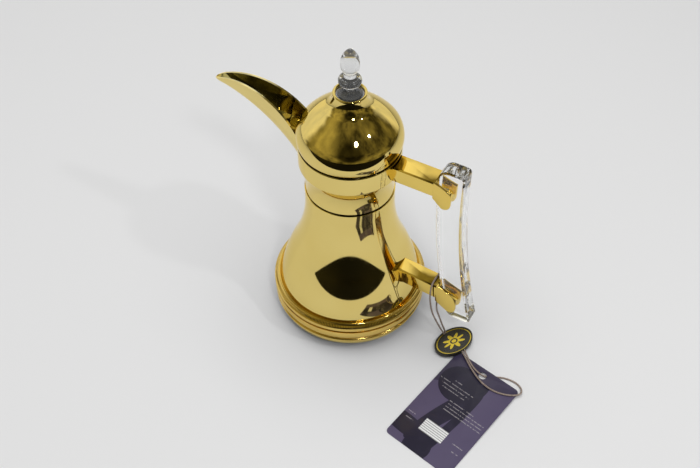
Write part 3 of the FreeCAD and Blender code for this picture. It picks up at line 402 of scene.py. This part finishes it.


# Painted shade: the top of the head collar is blackened next to the gap under the lid.
painted_gap_shade(gold, 202.0, 202.3)
lathe("pot_head_collar", head_outline, gold, "pot", "head_collar", ROUND_STEPS, cut_window)

# Beak: an open trough that rises and narrows to a blunt nose.
# Plated moulding with a rolled rim, fixed over the window in the head.
BEAK_ROOT = 45
BEAK_TIP = 134.5
NOSE_LENGTH = 8.0
ROOT_WIDTH = 28.8
NOSE_WIDTH = 8.0
TIP_WIDTH = 2.0
BEAK_WALL = 1.8
INNER_TIP = BEAK_TIP - NOSE_LENGTH * 0.55
RIM_CENTRE = (101, 162.5)
RIM_CURVE = 68
KEEL_CENTRE = (161.3, 77.8)
KEEL_CURVE = 144.6
THINNEST = 0.05
BEAK_STATIONS = 72
BEAK_SIDES = 36


def beak_point(reach, angle, inset):
    """Point of the trough's section at this reach: angle 0 and pi are the rims, pi / 2 the keel."""
    rim = RIM_CENTRE[1] + math.sqrt(RIM_CURVE ** 2 - (reach - RIM_CENTRE[0]) ** 2)
    keel = KEEL_CENTRE[1] + math.sqrt(KEEL_CURVE ** 2 - (reach - KEEL_CENTRE[0]) ** 2)
    width = ROOT_WIDTH + (NOSE_WIDTH - ROOT_WIDTH) * (reach - BEAK_ROOT) / (BEAK_TIP - BEAK_ROOT)
    nose = (BEAK_TIP - reach) / NOSE_LENGTH
    if nose < 1:
        width = max(TIP_WIDTH, width * math.sqrt(max(1 - (1 - nose) ** 2, 0)))
    half = max(width / 2 - inset, THINNEST)
    depth = max(max(rim - keel, TIP_WIDTH) - inset, THINNEST)
    return Vector((-reach, -half * math.cos(angle), rim - depth * math.sin(angle))) / 1000


def head_radius(height):
    """Outside radius of the head collar at this height."""
    if height < HEAD_FOOT[1]:
        return HEAD_FOOT[0]
    for (low_radius, low), (high_radius, high) in zip([HEAD_FOOT] + head_flare, head_flare + [BAND_FOOT]):
        if height <= high:
            return low_radius + (high_radius - low_radius) * (height - low) / max(high - low, 0.001)
    return BAND_FOOT[0]


FIRST_GUESS = 42.0
ROOT_TRIES = 30


def beak_start(angle, inset):
    """Reach at which this line of the trough meets the middle of the head's wall."""
    reach = FIRST_GUESS
    for _ in range(ROOT_TRIES):
        spot = beak_point(reach, angle, inset) * 1000
        radius = head_radius(spot.z) - BEAK_WALL / 2
        reach = (reach + math.sqrt(max(radius ** 2 - spot.y ** 2, 0))) / 2
    return reach


HOLLOW = "hollow_side"
bm = bmesh.new()
hollow_layer = bm.verts.layers.float.new(HOLLOW)
beak_rows = []
for inset, last in ((0.0, BEAK_TIP), (BEAK_WALL, INNER_TIP)):
    rows = []
    starts = [beak_start(math.pi * side / BEAK_SIDES, inset) for side in range(BEAK_SIDES + 1)]
    for station in range(BEAK_STATIONS + 1):
        share = math.sin(math.pi / 2 * station / BEAK_STATIONS)
        row = []
        for side in range(BEAK_SIDES + 1):
            reach = starts[side] + (last - starts[side]) * share
            vert = bm.verts.new(beak_point(reach, math.pi * side / BEAK_SIDES, inset))
            vert[hollow_layer] = 1.0 if inset else 0.0
            row.append(vert)
        rows.append(row)
    beak_rows.append(rows)
for rows in beak_rows:
    for before, after in zip(rows, rows[1:]):
        for side in range(BEAK_SIDES):
            bm.faces.new((before[side], before[side + 1], after[side + 1], after[side]))
outer_rows, inner_rows = beak_rows
for station in range(BEAK_STATIONS):
    for side in (0, BEAK_SIDES):
        bm.faces.new((outer_rows[station][side], outer_rows[station + 1][side],
                      inner_rows[station + 1][side], inner_rows[station][side]))
for end in (0, -1):
    for side in range(BEAK_SIDES):
        bm.faces.new((outer_rows[end][side], outer_rows[end][side + 1],
                      inner_rows[end][side + 1], inner_rows[end][side]))
# Painted shade: the inside of the trough gets a darker, duller gold than the outside.
BEAK_HOLLOW_SHADE = (0.66, 0.62, 0.39)
beak_gold = plated("beak_gold", (0.82, 0.67, 0.27), (0.78, 0.63, 0.24), 0.05)
hollow_side = beak_gold.node_tree.nodes.new("ShaderNodeAttribute")
hollow_side.attribute_name = HOLLOW
overlaid(beak_gold, hollow_side.outputs["Fac"], BEAK_HOLLOW_SHADE)
finished(bm, "pot_beak", beak_gold, "pot", "beak", 50)

# Lid dome: a tight shoulder, a wide crown and a hollow foot up to the collar of the knob.
# Plated moulding; its inside is hidden by the stopper's post and plate.
LID_FOOT = 203.5
LID_LIP = (44.4, 203.7)
LID_RADIUS = 46.0
LID_SIDE_TOP = 211.7
LID_SIDE_CURVE = 22
SHOULDER_CURVE = 22.0
SHOULDER_TURN = math.radians(40)
CROWN_CURVE = 80.0
CROWN_TURN = math.radians(58)
COLLAR_RADIUS = 14.2
SEAT_RADIUS = 12.2
SEAT_DROP = 2
SEAT_THICKNESS = 4
ROD_RADIUS = 2
LID_WALL = 1.8
shoulder_way = Vector((math.cos(SHOULDER_TURN), math.sin(SHOULDER_TURN)))
crown_way = Vector((math.cos(CROWN_TURN), math.sin(CROWN_TURN)))
shoulder_end = Vector((LID_RADIUS - SHOULDER_CURVE, LID_SIDE_TOP)) + shoulder_way * SHOULDER_CURVE
crown_end = shoulder_end + (crown_way - shoulder_way) * CROWN_CURVE
collar_curve = (crown_end.x - COLLAR_RADIUS) / (1 - crown_way.x)
collar_top = crown_end.y + collar_curve * crown_way.y
seat_top = collar_top - SEAT_DROP
seat_bottom = seat_top - SEAT_THICKNESS
inside_shoulder = shoulder_end - shoulder_way * LID_WALL
inside_crown = crown_end - crown_way * LID_WALL
inside_side = (LID_RADIUS - LID_WALL, LID_SIDE_TOP)
lid_outline = [(44.0, LID_FOOT), LID_LIP]
lid_outline += bent(LID_LIP, (LID_RADIUS, LID_SIDE_TOP), LID_SIDE_CURVE, LEFT, 20)
lid_outline += bent((LID_RADIUS, LID_SIDE_TOP), shoulder_end, SHOULDER_CURVE, LEFT, 40)
lid_outline += bent(shoulder_end, crown_end, CROWN_CURVE, LEFT, 24)
lid_outline += bent(crown_end, (COLLAR_RADIUS, collar_top), collar_curve, RIGHT, 20)
lid_outline += [(SEAT_RADIUS, collar_top), (SEAT_RADIUS, seat_top), (ROD_RADIUS, seat_top),
                (ROD_RADIUS, seat_bottom), (SEAT_RADIUS, seat_bottom), inside_crown]
lid_outline += bent(inside_crown, inside_shoulder, CROWN_CURVE - LID_WALL, RIGHT)
lid_outline += bent(inside_shoulder, inside_side, SHOULDER_CURVE - LID_WALL, RIGHT) + [(42.5, LID_FOOT)]
lid_gold = plated("lid_gold", GOLD, GOLD_DEEP, 0.03)
# Painted shade: the lid's lower edge is blackened next to the gap over the head.
painted_gap_shade(lid_gold, 204.3, 204.0)
lathe("pot_lid_dome", lid_outline, lid_gold, "lid", "lid_dome", ROUND_STEPS)

# Collar ring: the rolled gold edge round the knob's seat.
# A turned ring, glued on the lid's collar.
ROLL_INSIDE = 12.0
ROLL_OUTSIDE = 14.4
ROLL_CURVE = 1.32
ROLL_STEPS = 128
roll_top = collar_top + 1
roll_outline = [(ROLL_INSIDE, collar_top), (ROLL_OUTSIDE, collar_top), (ROLL_OUTSIDE, roll_top)]
roll_outline += bent((ROLL_OUTSIDE, roll_top), (ROLL_INSIDE, roll_top), ROLL_CURVE, LEFT, 16)
lathe("pot_collar_ring", roll_outline, lid_gold, "lid", "collar_ring", ROLL_STEPS)

# Finial washer: a grey satin washer that fills the seat under the knob.
# Moulded plastic, pressed down by the knob.
washer, _ = principled("grey_washer", (0.36, 0.365, 0.385), 0.35)
washer_grain = grain(washer, 900)
tint(washer, washer_grain, (0.30, 0.305, 0.325), (0.44, 0.445, 0.465))
gloss(washer, washer_grain, 0.28, 0.42)
dress(washer, "finial_washer")

# Finial: clear acrylic knob with a ringed stem and a pointed bulb.
# Turned, which leaves it a little milky, and screwed down on its washer by the rod in the lid.
MILKY = 0.1
acrylic, acrylic_shader = principled("clear_acrylic", (1.0, 1.0, 1.0), 0.012)
acrylic_shader.inputs["Transmission Weight"].default_value = 1.0
acrylic_shader.inputs["IOR"].default_value = 1.49
tint(acrylic, grain(acrylic, 60, detail=2), (0.975, 0.985, 0.98), (1.0, 1.0, 1.0))
gloss(acrylic, grain(acrylic, 400), 0.0, 0.03)
turned_acrylic = acrylic.copy()
turned_acrylic.name = "turned_acrylic"
turned_acrylic.node_tree.nodes["Principled BSDF"].inputs["Transmission Weight"].default_value = 1 - MILKY
KNOB_STEPS = 96
knob_foot = seat_top + 1.4
rod_top = knob_foot + 9
flange_top = (10.2, knob_foot + 2.2)
ring_foot = (6.2, knob_foot + 9.6)
ring_top = (5.1, knob_foot + 18.4)
bulb_foot = (5.1, knob_foot + 22)
bulb_side = (7.9, knob_foot + 32)
bulb_top = (1.0, knob_foot + 44.6)
knob_outline = [(ROD_RADIUS, knob_foot), (10.3, knob_foot), (10.6, knob_foot + 0.3), (10.6, knob_foot + 1.9)]
knob_outline += [flange_top] + bent(flange_top, ring_foot, 9, RIGHT) + bent(ring_foot, ring_top, 4.45, LEFT)
knob_outline += [bulb_foot] + bent(bulb_foot, bulb_side, 13, LEFT) + bent(bulb_side, bulb_top, 17, LEFT)
knob_outline += [(0.5, knob_foot + 44.9), (0, knob_foot + 45), (0, rod_top), (ROD_RADIUS, rod_top)]
lathe("pot_finial", knob_outline, turned_acrylic, "lid", "finial", KNOB_STEPS)

# Arms and clasps: bevelled gold bars, and forked ends that hold the grip between two cheeks.
# Cast and plated; the arms are screwed on from inside and the clasps pinned through the grip.
CAD_TOUCHING = 1e-6
FLAT_ANGLE = math.radians(0.8)
HARD_ANGLE = math.radians(24)


def eased(node, name, material, body, width, steps):
    """The CAD piece again, with its hard edges eased by this width in millimetres."""
    bm = bmesh.new()
    bm.from_mesh(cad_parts[node].data)
    bmesh.ops.remove_doubles(bm, verts=bm.verts, dist=CAD_TOUCHING)
    bmesh.ops.dissolve_limit(bm, angle_limit=FLAT_ANGLE, verts=bm.verts, edges=bm.edges)
    hard = [edge for edge in bm.edges if edge.is_manifold and edge.calc_face_angle() > HARD_ANGLE]
    bmesh.ops.bevel(bm, geom=hard, offset=width / 1000, offset_type="OFFSET", segments=steps, profile=0.5,
                    affect="EDGES", clamp_overlap=True, material=-1)
    finished(bm, name, material, body, node, 40)


ARM_EASE = 0.25
CLASP_EASE = 0.5
arm_gold = plated("arm_gold", (0.82, 0.61, 0.155), (0.78, 0.56, 0.13), 0.05)
for part in ("upper_arm", "lower_arm"):
    eased(part, "pot_" + part, arm_gold, "pot", ARM_EASE, 2)
for part in ("upper_clasp", "lower_clasp"):
    eased(part, "pot_" + part, arm_gold, "pot", CLASP_EASE, 3)

# Grip: a clear acrylic bar with bevelled edges, held between the clasps.
# Cut from thick sheet, bent a little, bevelled and flame polished.
GRIP_EASE = 0.95
eased("grip", "pot_grip", acrylic, "pot", GRIP_EASE, 4)

# Tag card: a dark purple laminated card on a cord, lying on the floor.
# Printed with broad dark strokes and rows of pale dashes; the print carries no words.
CARD_FOOT = Vector((0.1387, -0.1316, 0.0))
CARD_TURN = math.radians(-11.5)


def flat_place(material, centre, turn):
    """Distances in metres along and across a flat piece that lies turned on the floor."""
    nodes = material.node_tree.nodes
    links = material.node_tree.links
    place = nodes.new("ShaderNodeTexCoord")
    shift = nodes.new("ShaderNodeVectorMath")
    shift.operation = "SUBTRACT"
    shift.inputs[1].default_value = centre
    links.new(place.outputs["Object"], shift.inputs[0])
    found = []
    for axis in ((math.cos(turn), math.sin(turn), 0), (-math.sin(turn), math.cos(turn), 0)):
        share = nodes.new("ShaderNodeVectorMath")
        share.operation = "DOT_PRODUCT"
        share.inputs[1].default_value = axis
        links.new(shift.outputs["Vector"], share.inputs[0])
        found.append(share.outputs["Value"])
    return found


def worked(material, operation, *values):
    """One step of arithmetic between texture values and numbers."""
    node = material.node_tree.nodes.new("ShaderNodeMath")
    node.operation = operation
    for number, value in enumerate(values):
        if isinstance(value, (int, float)):
            node.inputs[number].default_value = value
        else:
            material.node_tree.links.new(value, node.inputs[number])
    return node.outputs["Value"]


def oval(material, across, up, centre, size, lean=0.0):
    """One inside an oval of the print and nothing outside it; lean slants it."""
    side = worked(material, "SUBTRACT", across, centre[0])
    rise = worked(material, "SUBTRACT", up, centre[1])
    side = worked(material, "SUBTRACT", side, worked(material, "MULTIPLY", rise, lean))
    side = worked(material, "POWER", worked(material, "DIVIDE", side, size[0]), 2.0)
    rise = worked(material, "POWER", worked(material, "DIVIDE", rise, size[1]), 2.0)
    return worked(material, "LESS_THAN", worked(material, "ADD", side, rise), 1.0)


CARD_EASE = 0.12
CARD_LIGHT = (0.092, 0.074, 0.142)
CARD_DARK = (0.016, 0.014, 0.034)
STROKES = (
    ((-0.012, 0.082), (0.020, 0.020), 0.0), ((-0.004, 0.052), (0.009, 0.046), 0.30),
    ((0.007, 0.040), (0.004, 0.046), 0.10), ((-0.026, 0.018), (0.030, 0.010), -0.5),
    ((-0.004, 0.006), (0.013, 0.014), 0.0))
UPPER_SLOPE = 0.5
UPPER_START = 0.088
UPPER_SHADE = 0.6
card, _ = principled("tag_print", (0.07, 0.055, 0.095), 0.4)
card_across, card_up = flat_place(card, CARD_FOOT, CARD_TURN)
upper_line = worked(card, "SUBTRACT", card_up, worked(card, "MULTIPLY", card_across, UPPER_SLOPE))
upper = worked(card, "GREATER_THAN", upper_line, UPPER_START)
stroke = worked(card, "MULTIPLY", upper, UPPER_SHADE)
for centre, size, lean in STROKES:
    stroke = worked(card, "MAXIMUM", stroke, oval(card, card_across, card_up, centre, size, lean))
mottle = worked(card, "MULTIPLY", worked(card, "SUBTRACT", grain(card, 60, detail=6), 0.5), 0.5)
tint(card, worked(card, "ADD", stroke, mottle), CARD_LIGHT, CARD_DARK, 0.0, 1.0)
DASH_HEIGHT = 0.0009
DASH_SHADE = 0.5
DASH_COLOUR = (0.52, 0.49, 0.50)
DASH_ROWS = (
    (-0.0175, -0.0100, 0.0830), (-0.0310, 0.0055, 0.0785), (-0.0265, 0.0035, 0.0747),
    (-0.0240, 0.0010, 0.0710), (-0.0090, 0.0180, 0.0625), (-0.0080, 0.0310, 0.0590),
    (-0.0085, 0.0310, 0.0555), (-0.0085, 0.0320, 0.0520), (0.0190, 0.0300, 0.0285),
    (0.0230, 0.0300, 0.0215), (-0.0320, -0.0240, 0.0310), (-0.0300, -0.0220, 0.0245))
rows = 0.0
for left, right, height in DASH_ROWS:
    aside = worked(card, "ABSOLUTE", worked(card, "SUBTRACT", card_across, (left + right) / 2))
    above = worked(card, "ABSOLUTE", worked(card, "SUBTRACT", card_up, height))
    within = worked(card, "LESS_THAN", aside, (right - left) / 2)
    row = worked(card, "MULTIPLY", within, worked(card, "LESS_THAN", above, DASH_HEIGHT / 2))
    rows = worked(card, "MAXIMUM", row, rows)
broken = worked(card, "GREATER_THAN", grain(card, 700), 0.46)
dashes = worked(card, "MULTIPLY", rows, broken)
overlaid(card, worked(card, "MULTIPLY", dashes, DASH_SHADE), DASH_COLOUR)
gloss(card, grain(card, 900), 0.3, 0.45)
eased("tag_card", "pot_tag_card", card, "pot", CARD_EASE, 2)

# Tag label: a small paper label stuck on the card, ruled with plain grey lines.
# White paper with a little fibre in it; the lines stand for no code or words.
RULE_SPACING = 0.0022
RULE_WIDTH = RULE_SPACING * 0.3
RULE_SHADE = 0.7
LABEL_FOOT = 0.021
paper, _ = principled("label_paper", (0.82, 0.82, 0.81), 0.75)
paper_grain = grain(paper, 1600)
_, label_up = flat_place(paper, CARD_FOOT, CARD_TURN)
ruled_height = worked(paper, "SUBTRACT", label_up, LABEL_FOOT)
rule = worked(paper, "LESS_THAN", worked(paper, "MODULO", ruled_height, RULE_SPACING), RULE_WIDTH)
paper_tone = worked(paper, "SUBTRACT", paper_grain, worked(paper, "MULTIPLY", rule, RULE_SHADE))
tint(paper, paper_tone, (0.30, 0.30, 0.30), (0.84, 0.84, 0.83), 0.0, 0.5)
gloss(paper, paper_grain, 0.65, 0.85)
dress(paper, "tag_label")

# Tag seal: an oval of black plastic with a gold border line and a plain gold rosette.
# Moulded round the ends of both cords, and the raised lines are gilded.
SEAL_CENTRE = Vector((0.1182, -0.0085, 0.0))
SEAL_TURN = math.radians(67.6)
SEAL_HALF = (0.0209, 0.01435)
SEAL_EASE = 0.15
SEAL_BLACK = (0.010, 0.010, 0.010)
SEAL_GILT = (0.72, 0.56, 0.07)
BORDER_REACH = 0.88
BORDER_HALF = 0.025
ROSETTE_PETALS = 8.0
ROSETTE_REACH = 0.42
PETAL_WAVE = 0.16
PETAL_SQUEEZE = 0.6
EYE_REACH = 0.16
EYE_HALF = 0.04
seal, seal_shader = principled("seal_black", (0.012, 0.012, 0.012), 0.28)
seal_grain = grain(seal, 800)
seal_along, seal_up = flat_place(seal, SEAL_CENTRE, SEAL_TURN)
oval_along = worked(seal, "POWER", worked(seal, "DIVIDE", seal_along, SEAL_HALF[0]), 2.0)
oval_up = worked(seal, "POWER", worked(seal, "DIVIDE", seal_up, SEAL_HALF[1]), 2.0)
oval_reach = worked(seal, "SQRT", worked(seal, "ADD", oval_along, oval_up))
border = worked(seal, "COMPARE", oval_reach, BORDER_REACH, BORDER_HALF)
petal_turn = worked(seal, "ARCTAN2", seal_up, worked(seal, "MULTIPLY", seal_along, PETAL_SQUEEZE))
petal_wave = worked(seal, "COSINE", worked(seal, "MULTIPLY", petal_turn, ROSETTE_PETALS))
petal_edge = worked(seal, "ADD", worked(seal, "MULTIPLY", petal_wave, PETAL_WAVE), ROSETTE_REACH)
petals = worked(seal, "LESS_THAN", oval_reach, petal_edge)
eye = worked(seal, "COMPARE", oval_reach, EYE_REACH, EYE_HALF)
gilt = worked(seal, "MAXIMUM", border, worked(seal, "SUBTRACT", petals, eye))
seal_tone = worked(seal, "ADD", gilt, worked(seal, "MULTIPLY", seal_grain, 0.02))
tint(seal, seal_tone, SEAL_BLACK, SEAL_GILT, 0.0, 0.9)
seal.node_tree.links.new(gilt, seal_shader.inputs["Metallic"])
gloss(seal, seal_grain, 0.24, 0.4)
eased("tag_seal", "pot_tag_seal", seal, "pot", SEAL_EASE, 2)

# Tag cords: brown twisted twine, one loop round the lower arm and one through the card's hole.
# Limp thread whose ends are moulded into the seal.
twine, _ = principled("brown_twine", (0.26, 0.20, 0.165), 0.85)
twine_grain = grain(twine, 1500, (1, 1, 0.6))
tint(twine, twine_grain, (0.17, 0.125, 0.10), (0.46, 0.37, 0.31))
relief(twine, twine_grain, 0.0002)
CORD_DIAMETER = 0.0016
LOOP_ROUTE = [
    (106.4, -4.3, 2.4), (103.9, -5.7, 8.8), (101.5, -7.2, 15.0), (99.0, -9.4, 24.0), (95.0, -12.2, 37.0),
    (92.4, -13.4, 51.0), (91.4, -14.2, 65.0), (91.4, -12.6, 79.0), (91.8, 0.0, 79.6), (92.2, 12.6, 78.6),
    (92.4, 13.6, 64.0), (92.6, 11.6, 50.6), (93.4, 0.0, 49.4), (96.6, -8.4, 42.0), (99.6, -6.6, 30.5),
    (102.6, -4.8, 18.0), (105.0, -3.4, 10.0), (106.8, -2.4, 2.4)]
CARD_ROUTE = [
    (130.6, -12.6, 5.4), (136.0, -17.6, 4.4), (141.6, -22.8, 3.7), (148.0, -27.4, 3.6), (153.4, -29.6, 3.85),
    (157.8, -29.6, 2.15), (162.0, -28.2, 0.9), (167.2, -25.3, 0.9), (174.0, -22.0, 0.9), (182.0, -20.6, 0.9),
    (190.8, -21.8, 1.0), (196.6, -27.2, 1.8), (195.8, -34.4, 3.5), (185.4, -39.8, 3.6), (172.8, -41.4, 3.4),
    (161.0, -38.4, 3.4), (151.4, -32.8, 3.5), (143.4, -26.8, 3.6), (136.6, -20.8, 4.2), (130.0, -15.6, 5.2)]


def thread(name, node, route):
    """A round cord on a smooth spline with the route's points, in millimetres, as its control points."""
    curve = bpy.data.curves.new(name, "CURVE")
    curve.dimensions = "3D"
    curve.bevel_depth = CORD_DIAMETER / 2
    curve.bevel_resolution = 4
    curve.resolution_u = 8
    curve.use_fill_caps = True
    spline = curve.splines.new("NURBS")
    spline.points.add(len(route) - 1)
    for point, place in zip(spline.points, route):
        point.co = (place[0] / 1000, place[1] / 1000, place[2] / 1000, 1)
    spline.order_u = 3
    spline.use_endpoint_u = True
    curve.materials.append(twine)
    piece = bpy.data.objects.new(name, curve)
    bpy.context.scene.collection.objects.link(piece)
    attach(piece, "pot")
    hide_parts(node)


thread("pot_tag_loop_cord", "tag_loop_cord", LOOP_ROUTE)
thread("pot_tag_card_cord", "tag_card_cord", CARD_ROUTE)

# Floor: a plain pale studio table under the pot.
# Beyond a line in front of the pot the floor is painted dim for mirrored rays only, a painted reflection of
# a dim room in the gold.
TO_LEFT = Vector((-0.875, -0.485, 0.0))
TO_BACK = Vector((-0.485, 0.875, 0.0))
FLOOR_HALF = 4.0
FLOOR_FRONT = 0.30
FLOOR_EDGE = 0.012
FLOOR_TONE = (0.80, 0.80, 0.80)
PAINTED_REFLECTION_TONE = (0.004, 0.004, 0.004)
floor_mesh = bpy.data.meshes.new("floor")
bm = bmesh.new()
bmesh.ops.create_grid(bm, x_segments=1, y_segments=1, size=FLOOR_HALF)
bm.to_mesh(floor_mesh)
bm.free()
floor = bpy.data.objects.new("floor", floor_mesh)
bpy.context.scene.collection.objects.link(floor)
floor_paint, floor_shader = principled("floor_paint", FLOOR_TONE, 0.65)
floor_shader.inputs["Specular IOR Level"].default_value = 0.1
floor_nodes = floor_paint.node_tree.nodes
floor_links = floor_paint.node_tree.links
spot = floor_nodes.new("ShaderNodeTexCoord")
forward = floor_nodes.new("ShaderNodeVectorMath")
forward.operation = "DOT_PRODUCT"
forward.inputs[1].default_value = -TO_BACK
floor_links.new(spot.outputs["Object"], forward.inputs[0])
edge = floor_nodes.new("ShaderNodeMapRange")
edge.inputs["From Min"].default_value = FLOOR_FRONT
edge.inputs["From Max"].default_value = FLOOR_FRONT + FLOOR_EDGE
floor_links.new(forward.outputs["Value"], edge.inputs["Value"])
path = floor_nodes.new("ShaderNodeLightPath")
# Painted reflection: the floor beyond the front line turns dim in mirrors; seen straight it stays pale.
mirrored = worked(floor_paint, "MULTIPLY", edge.outputs["Result"], path.outputs["Is Glossy Ray"])
overlaid(floor_paint, mirrored, PAINTED_REFLECTION_TONE)
floor_mesh.materials.append(floor_paint)

# Light: one large soft source overhead, and two small lamps that show as spots in the gold.
# The soft source lights everything but isn't mirrored itself.


def lamp(name, place, size, power, mirrored):
    """A round lamp that faces the pot; one that isn't mirrored gives light but shows in no piece."""
    light = bpy.data.lights.new(name, "AREA")
    light.shape = "DISK"
    light.size = size
    light.energy = power
    piece = bpy.data.objects.new(name, light)
    piece.location = place
    piece.rotation_euler = (-Vector(place)).to_track_quat("-Z", "Y").to_euler()
    piece.visible_glossy = mirrored
    piece.visible_transmission = mirrored
    bpy.context.scene.collection.objects.link(piece)


lamp("softbox", TO_BACK * 0.2 + TO_LEFT * 0.2 + Vector((0, 0, 2.2)), 2.4, 32.5, False)
lamp("lamp_front", TO_BACK * -1.1 + TO_LEFT * -0.35 + Vector((0, 0, 1.5)), 0.19, 4, True)
lamp("lamp_right", TO_BACK * -0.5 + TO_LEFT * -0.9 + Vector((0, 0, 1.3)), 0.08, 2, True)

# Surround: a pale backdrop behind and to the left, a window over it, and a dim warm room elsewhere.
# Only mirrored light sees the room; the view past the floor and the fill light are plain grey.
world = bpy.data.worlds.new("studio")
bpy.context.scene.world = world
world.use_nodes = True
sky = world.node_tree
sky_place = sky.nodes.new("ShaderNodeTexCoord").outputs["Generated"]


def facing(place, toward):
    """How nearly a direction of the room is this one: 1 when it is, 0 at right angles."""
    share = sky.nodes.new("ShaderNodeVectorMath")
    share.operation = "DOT_PRODUCT"
    share.inputs[1].default_value = toward.normalized()
    sky.links.new(place, share.inputs[0])
    return share.outputs["Value"]


def faded(value, begin, full, low=0.0, high=1.0):
    """Goes smoothly from low to high as the value goes from begin to full."""
    fade = sky.nodes.new("ShaderNodeMapRange")
    fade.interpolation_type = "SMOOTHSTEP"
    fade.inputs["From Min"].default_value = begin
    fade.inputs["From Max"].default_value = full
    fade.inputs["To Min"].default_value = low
    fade.inputs["To Max"].default_value = high
    sky.links.new(value, fade.inputs["Value"])
    return fade.outputs["Result"]


def coloured(value, colour):
    """A grey value of the room in this colour."""
    node = sky.nodes.new("ShaderNodeVectorMath")
    node.operation = "SCALE"
    node.inputs[0].default_value = colour
    sky.links.new(value, node.inputs["Scale"])
    return node.outputs["Vector"]


CLUTTER_SCALE = 3.2
UNEVEN = 0.4
BACKDROP_RISE = 0.165
BACKDROP_TONE = 0.70
WINDOW_TONE = 0.2
CORNER_TONE = 0.22
VIEWER_SHADE = 0.12
MURK_FLOOR = 0.3
MURK_LEAST = 0.06
MURK_TONE = 0.75
PALE = (1, 1, 1)
WARM = (1.0, 0.86, 0.34)
PLAIN_FILL = 0.30
PLAIN_VIEW = 0.40
level = sky.nodes.new("ShaderNodeVectorMath")
level.operation = "MULTIPLY"
level.inputs[1].default_value = (1, 1, 0)
sky.links.new(sky_place, level.inputs[0])
bearing = sky.nodes.new("ShaderNodeVectorMath")
bearing.operation = "NORMALIZE"
sky.links.new(level.outputs["Vector"], bearing.inputs[0])
sky_bearing = bearing.outputs["Vector"]
split = sky.nodes.new("ShaderNodeSeparateXYZ")
sky.links.new(sky_place, split.inputs["Vector"])
noise = sky.nodes.new("ShaderNodeTexNoise")
noise.inputs["Scale"].default_value = CLUTTER_SCALE
noise.inputs["Detail"].default_value = 3.0
sky.links.new(sky_place, noise.inputs["Vector"])
clutter = noise.outputs["Fac"]
uneven = worked(world, "MULTIPLY", worked(world, "SUBTRACT", clutter, 0.5), UNEVEN)
to_backdrop = facing(sky_bearing, TO_BACK * 0.976 + TO_LEFT * 0.216)
backdrop = faded(worked(world, "ADD", to_backdrop, uneven), 0.18, 0.52)
behind = faded(worked(world, "ADD", facing(sky_bearing, TO_BACK), uneven), 0.6, 0.95)
lowered = worked(world, "SUBTRACT", split.outputs["Z"], worked(world, "MULTIPLY", behind, BACKDROP_RISE))
below_top = faded(worked(world, "ADD", lowered, uneven), 0.58, 0.70, 1.0, 0.0)
wall = worked(world, "MULTIPLY", worked(world, "MULTIPLY", backdrop, below_top), BACKDROP_TONE)
to_window = facing(sky_place, TO_BACK * 0.67 + Vector((0, 0, 0.74)))
window = faded(to_window, 0.976, 0.990, 0.0, WINDOW_TONE)
to_corner = facing(sky_place, TO_LEFT * 0.82 + TO_BACK * -0.3 + Vector((0, 0, 0.5)))
corner = faded(to_corner, 0.72, 0.98, 0.0, CORNER_TONE)
to_viewer = facing(sky_place, TO_BACK * -0.88 + Vector((0, 0, 0.47)))
viewer_shade = faded(to_viewer, 0.84, 0.95, 1.0, VIEWER_SHADE)
murk = worked(world, "MAXIMUM", worked(world, "SUBTRACT", clutter, MURK_FLOOR), MURK_LEAST)
murk = worked(world, "MULTIPLY", murk, MURK_TONE)
dim = worked(world, "MULTIPLY", worked(world, "ADD", murk, corner), viewer_shade)
room = sky.nodes.new("ShaderNodeVectorMath")
room.operation = "ADD"
sky.links.new(coloured(worked(world, "ADD", wall, window), PALE), room.inputs[0])
sky.links.new(coloured(dim, WARM), room.inputs[1])
ray = sky.nodes.new("ShaderNodeLightPath")
straight = worked(world, "MAXIMUM", ray.outputs["Is Camera Ray"], ray.outputs["Is Transmission Ray"])
plain = worked(world, "ADD", worked(world, "MULTIPLY", straight, PLAIN_VIEW), PLAIN_FILL)
shown = sky.nodes.new("ShaderNodeMix")
shown.data_type = "RGBA"
sky.links.new(ray.outputs["Is Glossy Ray"], shown.inputs["Factor"])
sky.links.new(plain, shown.inputs[6])
sky.links.new(room.outputs["Vector"], shown.inputs[7])
sky.links.new(shown.outputs[2], sky.nodes["Background"].inputs["Color"])
bpy.context.scene.cycles.max_bounces = 20
bpy.context.scene.cycles.glossy_bounces = 14
bpy.context.scene.cycles.transmission_bounces = 14
bpy.context.scene.cycles.caustics_reflective = False
bpy.context.scene.view_settings.view_transform = "Standard"

# Camera: from the right front, well above the pot, with the place and tilt fitted to the photograph.
# A common lens on a full-size sensor, without shift and without depth of field.
CAMERA_PLACE = (0.29525, -0.53264, 0.765)
CAMERA_DOWN = 48.12
CAMERA_TURN = 29
camera = bpy.data.cameras.new("camera")
camera.sensor_width = 36
camera.lens = 50
viewer = bpy.data.objects.new("camera", camera)
viewer.location = CAMERA_PLACE
viewer.rotation_euler = (math.radians(90 - CAMERA_DOWN), 0, math.radians(CAMERA_TURN))
bpy.context.scene.collection.objects.link(viewer)
bpy.context.scene.camera = viewer
